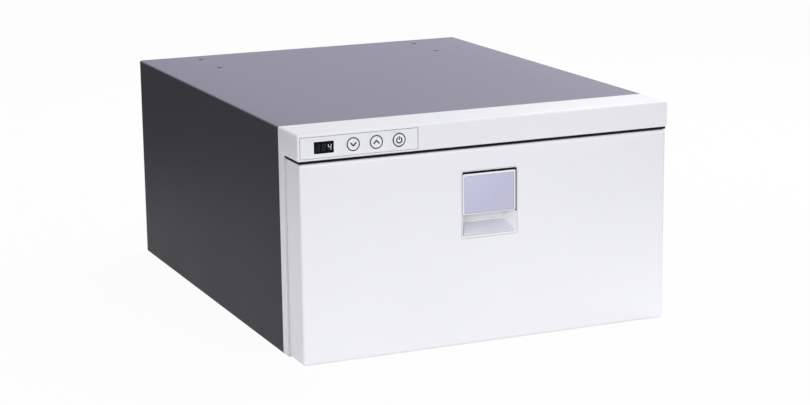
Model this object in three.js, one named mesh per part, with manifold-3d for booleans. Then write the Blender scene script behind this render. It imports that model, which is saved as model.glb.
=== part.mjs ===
// An undercounter drawer refrigerator: a dark steel cabinet with a white moulded front, one insulated
// drawer on ball-bearing telescopic slides, a pull-flap latch, a control strip in the header, and a
// sealed refrigeration unit behind a vented rear panel.
// Millimetres. +X is the user's right, +Y points to the back, +Z is up.
// The origin is the centre of the underside.
import * as THREE from "three";
import { mergeVertices } from "three/addons/utils/BufferGeometryUtils.js";
import Module from "manifold-3d";

const wasm = await Module();
wasm.setup();

// ---------------------------------------------------------------- driving dimensions
const WIDTH = 440;
const HEIGHT = 250;
const DEPTH = 565;

const SEAT = 0.3; // clearance between pieces that sit on one another
const RUN = 0.1; // clearance of a pin in its bore, all round
const PAST = 5; // how far a cutter reaches past what it cuts
const BITE = 0.5; // how far a joined form reaches into its neighbour
const LEAST_RADIUS = 0.2; // of a corner inside a rounded edge

// Cabinet.
const SHEET = 1; // wrapper
const BASE_SHEET = 1.2; // base plate and rear panel
const BASE_FLANGE = 20; // the wrapper's inward return under the base
const CORNER = 2; // cabinet and bezel corner radius
const FIXING_HOLE = { radius: 3.5, x: 148, ahead: [101.5, 29] }; // in the top, ahead of the back
const BASE_VENTS = { count: 6, pitch: 20, width: 6, length: 72 };
const REAR_INSET = 5.5; // rear panel's outer face, ahead of the back
const REAR_SLOTS = { count: 8, pitch: 13, first: -45.5, width: 5, reach: 54, least: 20, side: 60, rise: 8 };
const GLAND = { x: 10, z: 32, neck: 6, collar: 9, nose: 6.5, bore: 3.6, inside: 8, tip: 1.5 };

// Bezel.
const FRONT_DEPTH = 57; // header's front to the cabinet's steel
const BEZEL_DEPTH = 14; // the thin part, beside the drawer front
const BEZEL_EDGE = 1;
const HEADER_HEIGHT = 28.5;
const HEADER_WALL = 3.5;
const HEADER_EDGE = 1.5;
const POCKET_WALL = 2.5; // behind the hook's pocket
// The rubber lip under the header: how far in from its edges, its root's depth, and its clearance
// above the drawer.
const LIP = { inset: 2.6, thick: 1.6, root: 1.5, clear: 0.8 };

// Cavity.
const SIDE_WALL = 39; // bezel's side to the drawer opening
const OPENING_LOW = 35;
const OPENING_DROP = 27.5; // opening's top below the header
const OPENING_RADIUS = 8;
const LINER_WALL = 2;
const CAVITY_DEPTH = 344;
const REAR_WALL = 36; // insulation behind the cavity

// Drawer front.
const DRAWER_GAP = 3; // under the header
const DRAWER_INSET = 1.8; // each side of the drawer front
const DRAWER_LIFT = 1; // above the floor
const DRAWER_SKIN = 2.5;
const DRAWER_RADIUS = 3;
const INNER_PANEL = 3;
const PLUG = { inset: 5, deep: 9, corner: 8 }; // the step that enters the opening
const SEAL = { gap: 3, inset: 0.6, wide: 6, face: 7.6, root: 8, inner: 4, outer: 5 };
const TRAVEL = 310; // full extension

// Latch.
const LATCH_HALF = 33.6;
const LATCH_HEIGHT = 74;
const LATCH_DROP = 24.5; // below the drawer front's top
const LATCH_WALL = 1.1;
const LATCH_CORNER = 2;
const LATCH_DEPTH = 18;
const LATCH_POCKET = 11; // depth of the flap's pocket
const SCOOP = { lip: 2.2, depth: 16.5, rise: 13, draft: 9, clear: 0.4, drop: 12 };
const PADDLE_GAP = 0.8; // each side of the flap
const PADDLE_DROP = 2.2; // gap above the flap
const PADDLE_UNDER = 1; // pocket's floor below the flap
const PADDLE_HEIGHT = 45;
const PADDLE_SET = 0.3; // the flap's face behind the housing's
const PADDLE_PLATE = 3.6;
const PADDLE_CORNER = 1.2;
const PADDLE_EDGE = 0.6;
const FINGER_LIP = { deep: 3, thick: 1.8 };
const INSERT = { side: 2.1, top: 2.7, bottom: 1.4, thick: 0.8, sink: 1.3, corner: 0.8, edge: 0.3 };
const PIVOT_BACK = 5.3; // behind the front face
const PIVOT_DROP = 3; // below the flap's top
const PIN_RADIUS = 1.25;
const PIN_PRESS = 0.05; // the pin's clearance in the housing
const BARREL = { radius: 2.6, inner: 4, outer: 15 };
const CRANK = { reach: 13, half: 4, thick: 1.8, knob: 1.6 };
const SPRING = { from: 6, to: 12.4, turns: 4.25, leg: 6.5, rear: 5.5, wire: 0.4, coil: 2.35, clear: 0.8 };
const HOOK = { width: 14, drop: 4.8, below: 3, ahead: 2, behind: 2.4, under: 8, end: 8.5 };
const TONGUE = { low: 5, high: 2, catch: 0.4, ramp: 1.6 }; // low and high are below the hook's top
const HOOK_WAY = { side: 1, skin: 0.4, top: 0.6 }; // room round the hook
const KEEPER = { half: 17, plate: 1.2, below: 12.5, above: 2.1, corner: 1, side: 1.5, clear: 0.5 };
const KEEPER_SCREW = { x: 12.8, radius: 1.6 };

// Control strip. Places across it are measured from the plate's left edge.
const PLATE = { edge: 3, top: 3.4, width: 133.4, height: 22.6, thick: 1.2, sink: 0.4, corner: 1 };
const LEDGE = { side: 7, end: 2 }; // the rim that the plate lies on
const POCKET = { low: 0.8, high: 0.4 }; // walls of the hollow behind it, over the ledge
const KEY_PLACES = { down: 59.6, up: 85.8, power: 111.8 };
const KEY = { hole: 7.2, radius: 6.4, edge: 0.4, proud: 0.3, collar: 1, collarThick: 0.8, stem: 2 };
const KEY_TRAVEL = 0.7;
const DISPLAY = { left: 15.6, width: 22.2, height: 12.7, drop: 0.4, clear: 0.2, behind: 0.6 };
const BOARD = { behind: 10.5, thick: 1.6, side: 9, end: 3, rib: 2 };
const SWITCH = { height: 4, half: 3, body: 3, plunger: 1.6 };
const SOCKET = { left: 87, right: 105, deep: 9, low: 5, high: 13 };

// Telescopic slides. Across one, 0 is the cavity's wall and its width is the drawer's side.
const SLIDE_LENGTH = 330;
const SLIDE_HEIGHT = 36;
const SLIDE_WIDTH = 12.6;
const SLIDE_CENTRE = 120;
const SLIDE_SHEET = 1;
const SLIDE_INSET = 4; // behind the cabinet's front
const BALL_RADIUS = 1.5;
const BALLS_A_ROW = 3;
const BALL_PITCH = 50;
const RACE = BALL_RADIUS + 0.2; // a raceway's inner radius
const RACE_ARC = { from: 90, to: 15 }; // degrees, from the side
const OUTER = { balls: 6.9, fold: 0.8, cageWeb: 1.65 };
const MIDDLE = { web: 2.8, straight: 3, fold: 0.6, flange: 0.1, near: 2.4, far: 1.8, lip: 2.2, rise: 0.9 };
const INNER = { balls: 7.9, straight: 3, fold: 0.9, flange: 0.1, lip: 2.2, cageWeb: 4.2 };
const CAGE = { sheet: 0.5, end: 5, straight: 2, fold: 0.2, set: 0.05, start: 20 };

// Basin and the side rails that carry it.
const BASIN_SIDE = 23; // opening's side to the tub
const BASIN_LOW = 42;
const BASIN_DROP = 10; // rim below the opening's top
const BASIN_WALL = 2.5;
const BASIN_LENGTH = 328;
const BASIN_DRAFT = 5;
const BASIN_CORNER = 22;
const BASIN_GAP = 3; // behind the drawer front's plug
const RIM = { out: 7, ends: 1, thick: 2.4, corner: 24 };
const FLOOR_RIBS = { each: 3, pitch: 40, width: 2.4, height: 1.5, short: 25 };
const RAIL = { sheet: 1.2, fold: 1, under: 14, hold: 2 };
const RAIL_TAB = { wide: 6, thick: 1.5, under: 13 };
const RAIL_SLOT = { count: 3, first: 32, pitch: 100, length: 52, low: 26, high: 46, corner: 8 };

// Evaporator, on studs in front of the liner's rear wall.
const PLATE_COIL = { side: 33, low: 17, high: 18, thick: 1.5, corner: 4, off: 2.5 };
const COIL_CHANNEL = { rows: 5, end: 18, side: 20, wide: 7, proud: 1.5 };
const STUD = { radius: 4, inset: 12 };
const PROBE = { radius: 3, left: 60, right: 92, clipLeft: 70, clipRight: 80, clip: 6 };

// Sealed unit. The pipes' places through the rear wall are from the middle and the floor.
const PIPES = { suction: 4, feed: 1.5, discharge: 3, liquid: 2.5, suctionX: 60, feedX: -18, z: 165 };
const PIPE_END = { flange: 1, long: 1.5 };
const PIPE_WAY = { foam: 2, liner: 1 }; // room round a pipe
const POT = { x: 122, low: 20, high: 148, radius: 54, stretch: 1.28, dome: 18, crown: 34 };
const WELD = { height: 70, half: 2, lower: 1.5, upper: 2.5 };
const FOOT = { halfX: 84, halfY: 50, corner: 12, thick: 3, holeX: 74, holeY: 38, bore: 5 };
const STUB = { high: 10, root: 12, suction: 30, discharge: -30 };
const GROMMET = { radius: 9, waist: 7, neck: 4.6, above: 5, grooves: [5, 3.5, 2] };
const DRIVE = { deep: 30, halfY: 36, low: 48, high: 132, corner: 5 };
const DRIVE_RIBS = { count: 6, pitch: 10, width: 3, deep: 5, first: -28, low: 58, high: 122 };
const DRIVE_PLUG = { inset: 6, halfY: 24, low: 128, high: 138 };
const COIL = { half: 62, ahead: 16, rows: 4, pitch: 28, tube: 4, end: 6, port: 16 };
const FINS = { count: 7, half: 0.4, endHalf: 1, ahead: 15, over: 16 };
const DRIER = { x: -8, low: 62, high: 148, radius: 8.5, neck: 3, inlet: 3.5, outlet: 2, cone: 12, step: 5 };

// Fan.
const FAN = { size: 120, depth: 25, bore: 57, blades: 7, hub: 19, shaft: 2.5, corner: 7 };
const FAN_PLACE = { x: -120, lift: 22 };
const FAN_HOLE = { radius: 2.2, place: 52.5 };
const STRUT = { count: 4, deep: 4, wide: 5, turn: 0.25, sunk: 2 };
const BLADE = { root: 4, rootHalf: 9, over: 4, lead: 12, trail: 16, thick: 1.6, pitch: 58, tip: 1.5 };
const BLADE_SWEEP = { leadX: 38, lead: 19, trailX: 36, trail: 6 };
const ROTOR = { front: 2, bearing: 0.5 };

// ---------------------------------------------------------------- places worked out from them
const FRONT = -DEPTH / 2;
const BACK = DEPTH / 2;
const HALF = WIDTH / 2;
const CABINET_FRONT = FRONT + FRONT_DEPTH;
const BEZEL_FACE = CABINET_FRONT - BEZEL_DEPTH;
const HEADER_LOW = HEIGHT - HEADER_HEIGHT;
const OPENING_HALF = HALF - SIDE_WALL;
const OPENING_HIGH = HEADER_LOW - OPENING_DROP;
const CAVITY_BACK = CABINET_FRONT + CAVITY_DEPTH;
const FOAM_BACK = CAVITY_BACK + REAR_WALL;
const FLOOR_TOP = SHEET + SEAT + BASE_SHEET; // upper face of the base plate
const REAR_PANEL = BACK - REAR_INSET;
const REAR_FACE = REAR_PANEL - BASE_SHEET; // the panel's inner face

const DRAWER_TOP = HEADER_LOW - DRAWER_GAP;
const DRAWER_HALF = HALF - DRAWER_INSET;
const DRAWER_BACK = BEZEL_FACE - SEAL.gap;
const PLUG_BACK = DRAWER_BACK + PLUG.deep;
const LATCH_HIGH = DRAWER_TOP - LATCH_DROP;
const LATCH_LOW = LATCH_HIGH - LATCH_HEIGHT;
const LATCH_BACK = FRONT + LATCH_DEPTH;
const PADDLE_TOP = LATCH_HIGH - LATCH_WALL - PADDLE_DROP;
const PADDLE_LOW = PADDLE_TOP - PADDLE_HEIGHT;
const PADDLE_HALF = LATCH_HALF - LATCH_WALL - PADDLE_GAP;
const PADDLE_FACE = FRONT + PADDLE_SET;
const INSERT_HALF = PADDLE_HALF - INSERT.side;
const INSERT_LOW = PADDLE_LOW + INSERT.bottom;
const INSERT_HIGH = PADDLE_TOP - INSERT.top;
const PIVOT_Y = FRONT + PIVOT_BACK;
const PIVOT_Z = PADDLE_TOP - PIVOT_DROP;
const KNOB_Y = PIVOT_Y + CRANK.reach;
const HOOK_TOP = DRAWER_TOP - HOOK.below;
const HOOK_LOW = PIVOT_Z - HOOK.under;
const HOOK_FRONT = KNOB_Y - HOOK.ahead;
const HOOK_BACK = KNOB_Y + HOOK.behind;
const HOOK_END = BEZEL_FACE + HOOK.end;
const HOOK_HALF = HOOK.width / 2;
const HOOK_SWEEP = HOOK_TOP - TONGUE.low - HOOK.drop; // the tongue's underside, when it is drawn down
const KEEPER_LOW = HOOK_TOP - KEEPER.below;
const KEEPER_HIGH = HOOK_TOP + KEEPER.above;
const KEEPER_SLOT = HOOK_SWEEP - KEEPER.clear;

const PLATE_LEFT = -HALF + PLATE.edge;
const PLATE_RIGHT = PLATE_LEFT + PLATE.width;
const PLATE_TOP = HEIGHT - PLATE.top;
const PLATE_LOW = PLATE_TOP - PLATE.height;
const PLATE_FRONT = FRONT + PLATE.sink;
const PLATE_BACK = PLATE_FRONT + PLATE.thick;
const KEY_Z = PLATE_LOW + PLATE.height / 2;
const DISPLAY_LEFT = PLATE_LEFT + DISPLAY.left;
const DISPLAY_RIGHT = DISPLAY_LEFT + DISPLAY.width;
const DISPLAY_LOW = KEY_Z - DISPLAY.drop - DISPLAY.height / 2;
const DISPLAY_HIGH = DISPLAY_LOW + DISPLAY.height;
const BOARD_LEFT = PLATE_LEFT + BOARD.side;
const BOARD_RIGHT = PLATE_RIGHT - BOARD.side;
const BOARD_FRONT = FRONT + BOARD.behind;
const BOARD_BACK = BOARD_FRONT + BOARD.thick;

const SLIDE_FRONT = CABINET_FRONT + SLIDE_INSET;
const SLIDE_BACK = SLIDE_FRONT + SLIDE_LENGTH;
const RACE_MID = RACE + SLIDE_SHEET / 2;
const OUTER_BALLS = { across: OUTER.balls, up: SLIDE_HEIGHT / 2 - SLIDE_SHEET - RACE };
const INNER_BALLS = { across: INNER.balls, up: OUTER_BALLS.up - 2 * RACE - SLIDE_SHEET };
const CAGE_FRONT = SLIDE_FRONT + TRAVEL / 4 + CAGE.start; // a cage runs a quarter of the travel

const BASIN_HALF = OPENING_HALF - BASIN_SIDE;
const BASIN_RIM = OPENING_HIGH - BASIN_DROP;
const BASIN_FRONT = PLUG_BACK + BASIN_GAP;
const BASIN_BACK = BASIN_FRONT + BASIN_LENGTH;

const COIL_PLATE_HALF = OPENING_HALF - PLATE_COIL.side;
const COIL_PLATE_LOW = OPENING_LOW + PLATE_COIL.low;
const COIL_PLATE_HIGH = OPENING_HIGH - PLATE_COIL.high;
const COIL_PLATE_BACK = CAVITY_BACK - PLATE_COIL.off;
const COIL_PLATE_FRONT = COIL_PLATE_BACK - PLATE_COIL.thick - COIL_CHANNEL.proud;

const FAN_X = FAN_PLACE.x;
const FAN_Z = FLOOR_TOP + FAN_PLACE.lift + FAN.size / 2;
const FAN_FRONT = REAR_FACE - SEAT - FAN.depth;
const FAN_BACK = FAN_FRONT + FAN.depth;
const POT_Y = (FOAM_BACK + REAR_FACE) / 2; // midway between the rear wall and the rear panel
const STUB_TOP = POT.high + STUB.high;
const COIL_LEFT = FAN_X - COIL.half;
const COIL_RIGHT = FAN_X + COIL.half;
const COIL_Y = FAN_FRONT - COIL.ahead;
const COIL_LOW = FAN_Z - ((COIL.rows - 1) * COIL.pitch) / 2;
const COIL_HIGH = COIL_LOW + (COIL.rows - 1) * COIL.pitch;
const COIL_PORT = COIL_RIGHT + COIL.port;

const COLOUR = {
  cabinet: [0x3a383f, 0.45, 0.35],
  white: [0xe9e9ee, 0.35, 0],
  foam: [0xe8dfb8, 0.9, 0],
  liner: [0xdfe2e6, 0.4, 0],
  steel: [0xb4b7bb, 0.35, 0.9],
  zinc: [0xa7abb0, 0.45, 0.8],
  black: [0x141416, 0.4, 0],
  rubber: [0x202022, 0.85, 0],
  gasket: [0xc9cbd0, 0.8, 0],
  silver: [0xb4b6cc, 0.35, 0.3],
  smoke: [0x07080a, 0.1, 0],
  board: [0x1f6a3c, 0.6, 0],
  aluminium: [0xc7cacd, 0.4, 0.9],
  copper: [0xb8724a, 0.35, 0.9],
  enamel: [0x17181a, 0.35, 0.2],
};

// ---------------------------------------------------------------- tools for making solids
const object = new THREE.Group();
const SIDES = [["left", -1], ["right", 1]];

// A closed geometry as a manifold solid. Its points are rounded to a thousandth of a millimetre, so
// that faces meant to be flush are.
function solid(geometry) {
  const bare = new THREE.BufferGeometry();
  const points = Array.from(geometry.getAttribute("position").array, (v) => Math.round(v * 1000) / 1000);
  bare.setAttribute("position", new THREE.Float32BufferAttribute(points, 3));
  if (geometry.index) bare.setIndex(geometry.index);
  const merged = mergeVertices(bare, 1e-4);
  return new wasm.Manifold(
    new wasm.Mesh({
      numProp: 3,
      vertProperties: merged.attributes.position.array,
      triVerts: new Uint32Array(merged.index.array),
    }),
  );
}

// Adds a solid to the object as a named mesh.
function add(name, made, finish) {
  const mesh = made.getMesh();
  const geometry = new THREE.BufferGeometry();
  geometry.setAttribute("position", new THREE.BufferAttribute(mesh.vertProperties.slice(), 3));
  geometry.setIndex(new THREE.BufferAttribute(mesh.triVerts.slice(), 1));
  geometry.computeVertexNormals();
  const [color, roughness, metalness] = COLOUR[finish];
  const material = new THREE.MeshStandardMaterial({ color, roughness, metalness });
  const node = new THREE.Mesh(geometry, material);
  node.name = name;
  object.add(node);
}

// A block between two values on each axis.
function block(x0, x1, y0, y1, z0, z1) {
  const geometry = new THREE.BoxGeometry(x1 - x0, y1 - y0, z1 - z0);
  return solid(geometry.translate((x0 + x1) / 2, (y0 + y1) / 2, (z0 + z1) / 2));
}

// A rectangle with round corners, between two values on each axis of its own plane.
function rectangle(x0, x1, y0, y1, radius, Kind = THREE.Shape) {
  const shape = new Kind();
  if (radius <= 0) {
    shape.moveTo(x0, y0).lineTo(x1, y0).lineTo(x1, y1).lineTo(x0, y1).closePath();
    return shape;
  }
  shape.moveTo(x0 + radius, y0);
  shape.lineTo(x1 - radius, y0);
  shape.absarc(x1 - radius, y0 + radius, radius, -Math.PI / 2, 0);
  shape.lineTo(x1, y1 - radius);
  shape.absarc(x1 - radius, y1 - radius, radius, 0, Math.PI / 2);
  shape.lineTo(x0 + radius, y1);
  shape.absarc(x0 + radius, y1 - radius, radius, Math.PI / 2, Math.PI);
  shape.lineTo(x0, y0 + radius);
  shape.absarc(x0 + radius, y0 + radius, radius, Math.PI, 1.5 * Math.PI);
  return shape;
}

function hole(x0, x1, y0, y1, radius) {
  return rectangle(x0, x1, y0, y1, radius, THREE.Path);
}

const AXES = {
  x: new THREE.Matrix4().makeBasis(
    new THREE.Vector3(0, 1, 0),
    new THREE.Vector3(0, 0, 1),
    new THREE.Vector3(1, 0, 0),
  ),
  y: new THREE.Matrix4().makeBasis(
    new THREE.Vector3(1, 0, 0),
    new THREE.Vector3(0, 0, 1),
    new THREE.Vector3(0, -1, 0),
  ),
  z: new THREE.Matrix4(),
};

// A shape carried along an axis from one value to another. Its own plane is (Y, Z) for an X
// extrusion, (X, Z) for a Y extrusion and (X, Y) for a Z extrusion.
function extrude(shape, axis, from, to, arcs = 1) {
  const depth = to - from;
  const geometry = new THREE.ExtrudeGeometry(shape, { depth, bevelEnabled: false, curveSegments: arcs });
  geometry.applyMatrix4(AXES[axis]);
  const start = axis === "y" ? to : from;
  const offset = { x: [start, 0, 0], y: [0, start, 0], z: [0, 0, start] }[axis];
  return solid(geometry.translate(...offset));
}

// A block whose front edges, facing -Y, are rounded, and whose four long corners are round.
function softBlock(x0, x1, y0, y1, z0, z1, corner, edge) {
  const inner = Math.max(corner - edge, LEAST_RADIUS);
  const shape = rectangle(x0 + edge, x1 - edge, z0 + edge, z1 - edge, inner);
  const geometry = new THREE.ExtrudeGeometry(shape, {
    depth: y1 - y0 + edge,
    bevelEnabled: true,
    bevelSize: edge,
    bevelThickness: edge,
    bevelSegments: 2,
    curveSegments: 1,
  });
  geometry.applyMatrix4(AXES.y).translate(0, y1 + 2 * edge, 0);
  return solid(geometry).intersect(block(x0 - PAST, x1 + PAST, y0 - PAST, y1, z0 - PAST, z1 + PAST));
}

// A round bar along an axis, from one value to another, centred at (a, b) in the plane it crosses.
function bar(radius, axis, from, to, a, b, sides = 20) {
  const shape = new THREE.Shape().absarc(a, b, radius, 0, 2 * Math.PI);
  return extrude(shape, axis, from, to, Math.round(sides / 2));
}

// A pipe through points, with its two ends square to the first and last stretch.
function pipe(radius, points, steps, sides = 6) {
  const curve = new THREE.CatmullRomCurve3(points.map((p) => new THREE.Vector3(...p)), false, "centripetal");
  const section = new THREE.Shape().absarc(0, 0, radius, 0, 2 * Math.PI);
  return solid(
    new THREE.ExtrudeGeometry(section, { steps, extrudePath: curve, curveSegments: sides / 2 }),
  );
}

// A profile of [radius, height] pairs turned about a vertical axis at (x, y), and stretched in x.
function turned(profile, x, y, sides, stretch = 1) {
  const geometry = new THREE.LatheGeometry(profile.map((p) => new THREE.Vector2(...p)), sides);
  return solid(geometry.rotateX(Math.PI / 2).scale(stretch, 1, 1).translate(x, y, 0));
}

// A strip of sheet metal that follows a folded centreline, as a closed outline.
function foldedStrip(line, thickness) {
  const points = line.map((p) => new THREE.Vector2(...p));
  const sides = [[], []];
  points.forEach((point, i) => {
    const before = points[Math.max(i - 1, 0)];
    const after = points[Math.min(i + 1, points.length - 1)];
    const into = point.clone().sub(before).normalize();
    const out = after.clone().sub(point).normalize();
    const along = into.clone().add(out).normalize();
    const normal = new THREE.Vector2(-along.y, along.x);
    const end = i === 0 || i === points.length - 1;
    const reach = thickness / 2 / (end ? 1 : along.dot(into));
    sides[0].push(point.clone().addScaledVector(normal, reach));
    sides[1].push(point.clone().addScaledVector(normal, -reach));
  });
  return new THREE.Shape([...sides[0], ...sides[1].reverse()]);
}

// Joins a list of solids into one.
function joined(list) {
  return list.reduce((sum, next) => sum.add(next));
}

// Points on a quarter circle about (a, b), from one angle to another, in equal steps.
function arc(a, b, radius, from, to, steps) {
  return Array.from({ length: steps + 1 }, (_, i) => {
    const angle = from + ((to - from) * i) / steps;
    return [a + radius * Math.cos(angle), b + radius * Math.sin(angle)];
  });
}

// ---------------------------------------------------------------- cabinet
function cabinetShell() {
  const fold = CORNER - SHEET / 2;
  const half = HALF - SHEET / 2;
  const top = HEIGHT - SHEET / 2;
  const low = SHEET / 2;
  const line = [
    [-HALF + BASE_FLANGE, low],
    [-half + fold, low],
    [-half, low + fold],
    [-half, top - fold],
    [-half + fold, top],
    [half - fold, top],
    [half, top - fold],
    [half, low + fold],
    [half - fold, low],
    [HALF - BASE_FLANGE, low],
  ];
  const wrapper = extrude(foldedStrip(line, SHEET), "y", CABINET_FRONT + SEAT, BACK);
  const { radius, x, ahead } = FIXING_HOLE;
  const holes = ahead.flatMap((distance) =>
    [-x, x].map((across) =>
      bar(radius, "z", HEIGHT - PAST, HEIGHT + PAST, across, BACK - distance, 12),
    ),
  );
  return wrapper.subtract(joined(holes));
}

function basePlate() {
  const half = HALF - CORNER - SEAT;
  const plate = block(-half, half, CABINET_FRONT + SEAT, BACK - SEAT, SHEET + SEAT, FLOOR_TOP);
  const { count, pitch, width, length } = BASE_VENTS;
  const vents = Array.from({ length: count }, (_, i) => {
    const x = POT.x + (i - (count - 1) / 2) * pitch;
    const slot = rectangle(x - width / 2, x + width / 2, POT_Y - length / 2, POT_Y + length / 2, width / 2);
    return extrude(slot, "z", SHEET, FLOOR_TOP + PAST);
  });
  return plate.subtract(joined(vents));
}

// The cabinet's inside, above the base plate, less the clearance all round.
function insideOutline() {
  const edge = HALF - SHEET - SEAT;
  return rectangle(-edge, edge, FLOOR_TOP + SEAT, HEIGHT - SHEET - SEAT, CORNER);
}

// The opening's outline, grown all round.
function openingOutline(grow) {
  return rectangle(
    -OPENING_HALF - grow,
    OPENING_HALF + grow,
    OPENING_LOW - grow,
    OPENING_HIGH + grow,
    OPENING_RADIUS + grow,
  );
}

// The two ways of the refrigerant pipes through the rear wall, with room round each.
function pipeWays(room, from, to) {
  return joined([
    bar(PIPES.suction + room, "y", from, to, PIPES.suctionX, PIPES.z, 12),
    bar(PIPES.feed + room, "y", from, to, PIPES.feedX, PIPES.z, 12),
  ]);
}

function insulation() {
  const outer = extrude(insideOutline(), "y", CABINET_FRONT + SEAT, FOAM_BACK);
  const hollow = extrude(
    openingOutline(LINER_WALL + SEAT), "y", CABINET_FRONT, CAVITY_BACK + LINER_WALL + SEAT,
  );
  return outer.subtract(hollow).subtract(pipeWays(PIPE_WAY.foam, CAVITY_BACK, FOAM_BACK + PAST));
}

function innerLiner() {
  const outside = extrude(openingOutline(LINER_WALL), "y", CABINET_FRONT + SEAT, CAVITY_BACK + LINER_WALL);
  let liner = outside.subtract(extrude(openingOutline(0), "y", CABINET_FRONT, CAVITY_BACK));
  for (const side of [-1, 1])
    for (const z of [COIL_PLATE_LOW + STUD.inset, COIL_PLATE_HIGH - STUD.inset]) {
      const x = side * (COIL_PLATE_HALF - STUD.inset);
      liner = liner.add(bar(STUD.radius, "y", COIL_PLATE_BACK + SEAT, CAVITY_BACK + BITE, x, z, 8));
    }
  return liner.subtract(pipeWays(PIPE_WAY.liner, CAVITY_BACK - BITE, CAVITY_BACK + PAST));
}

// ---------------------------------------------------------------- front bezel and controls
// The rubber lip's plan, along the header's front and back along its two ends, grown all round.
function lipPlan(grow) {
  const side = HALF - LIP.inset + grow;
  const front = FRONT + LIP.inset - grow;
  const inner = side - LIP.thick - 2 * grow;
  const back = BEZEL_FACE - SEAT + grow;
  return new THREE.Shape(
    [
      [-side, back], [-side, front], [side, front], [side, back],
      [inner, back], [inner, front + LIP.thick + 2 * grow], [-inner, front + LIP.thick + 2 * grow],
      [-inner, back],
    ].map((p) => new THREE.Vector2(...p)),
  );
}

function headerLip() {
  return extrude(lipPlan(0), "z", DRAWER_TOP + LIP.clear, HEADER_LOW + LIP.root);
}

function frontBezel() {
  const ring = softBlock(-HALF, HALF, BEZEL_FACE, CABINET_FRONT, SEAT, HEIGHT, CORNER, BEZEL_EDGE);
  const header = softBlock(-HALF, HALF, FRONT, CABINET_FRONT, HEADER_LOW, HEIGHT, CORNER, HEADER_EDGE);
  const hollow = FRONT + HEADER_WALL;
  const recess = block(
    PLATE_LEFT - SEAT, PLATE_RIGHT + SEAT, FRONT - PAST, PLATE_BACK + SEAT,
    PLATE_LOW - SEAT, PLATE_TOP + SEAT,
  );
  const window = block(
    PLATE_LEFT + LEDGE.side, PLATE_RIGHT - LEDGE.side, FRONT - PAST, hollow + PAST,
    PLATE_LOW + LEDGE.end, PLATE_TOP - LEDGE.end,
  );
  const pocket = block(
    PLATE_LEFT, PLATE_RIGHT, hollow, CABINET_FRONT + PAST, PLATE_LOW + POCKET.low, PLATE_TOP - POCKET.high,
  );
  const keeperSeat = block(
    -KEEPER.half - SEAT, KEEPER.half + SEAT, BEZEL_FACE - PAST, BEZEL_FACE + KEEPER.plate + SEAT,
    KEEPER_LOW - SEAT, KEEPER_HIGH + SEAT,
  );
  const way = HOOK_HALF + 2 * HOOK_WAY.side;
  const hookPocket = block(
    -way, way, BEZEL_FACE - PAST, CABINET_FRONT - POCKET_WALL, KEEPER_SLOT, HOOK_TOP + HOOK_WAY.top,
  );
  const groove = extrude(lipPlan(SEAT), "z", HEADER_LOW - PAST, HEADER_LOW + LIP.root + SEAT);
  const opening = extrude(openingOutline(0), "y", FRONT - PAST, CABINET_FRONT + PAST);
  let bezel = ring.subtract(groove).add(header.subtract(groove));
  bezel = bezel.subtract(joined([opening, recess, window, pocket, keeperSeat, hookPocket]));
  for (const [side, end] of [[-1, BOARD_LEFT], [1, BOARD_RIGHT]]) {
    const [from, to] = [end + side * SEAT, end + side * (SEAT + BOARD.rib)].sort((a, b) => a - b);
    bezel = bezel.add(
      block(from, to, hollow - BITE, BOARD_BACK + BOARD.rib, PLATE_LOW, PLATE_TOP),
    );
  }
  return bezel;
}

function controlPlate() {
  const plate = rectangle(PLATE_LEFT, PLATE_RIGHT, PLATE_LOW, PLATE_TOP, PLATE.corner);
  plate.holes.push(hole(DISPLAY_LEFT, DISPLAY_RIGHT, DISPLAY_LOW, DISPLAY_HIGH, 0));
  const holes = Object.values(KEY_PLACES).map((place) =>
    bar(KEY.hole, "y", PLATE_FRONT - PAST, PLATE_BACK + PAST, PLATE_LEFT + place, KEY_Z, 24),
  );
  return extrude(plate, "y", PLATE_FRONT, PLATE_BACK).subtract(joined(holes));
}

// A round key: a cap with a soft edge, a collar that holds it behind the plate, and a stem.
function key(place) {
  const x = PLATE_LEFT + place;
  const collar = PLATE_BACK + SEAT;
  const end = BOARD_FRONT - SWITCH.height - SEAT - KEY_TRAVEL;
  return joined([
    bar(KEY.radius, "y", FRONT + KEY.proud, collar + BITE, x, KEY_Z, 20),
    bar(KEY.radius - KEY.edge, "y", FRONT, PLATE_BACK, x, KEY_Z, 20),
    bar(KEY.hole + KEY.collar, "y", collar, collar + KEY.collarThick, x, KEY_Z, 16),
    bar(KEY.stem, "y", PLATE_BACK, end, x, KEY_Z, 8),
  ]);
}

// The board, a switch behind each key, and a socket on its rear face.
function controlBoard() {
  const parts = [
    block(BOARD_LEFT, BOARD_RIGHT, BOARD_FRONT, BOARD_BACK, PLATE_LOW + BOARD.end, PLATE_TOP - BOARD.end),
  ];
  const { half, body, height, plunger } = SWITCH;
  for (const place of Object.values(KEY_PLACES)) {
    const x = PLATE_LEFT + place;
    parts.push(block(x - half, x + half, BOARD_FRONT - body, BOARD_FRONT + BITE, KEY_Z - half, KEY_Z + half));
    parts.push(bar(plunger, "y", BOARD_FRONT - height, BOARD_FRONT, x, KEY_Z, 8));
  }
  const { left, right, deep, low, high } = SOCKET;
  parts.push(
    block(
      PLATE_LEFT + left, PLATE_LEFT + right, BOARD_BACK - BITE, BOARD_BACK + deep,
      PLATE_LOW + low, PLATE_LOW + high,
    ),
  );
  return joined(parts);
}

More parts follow.
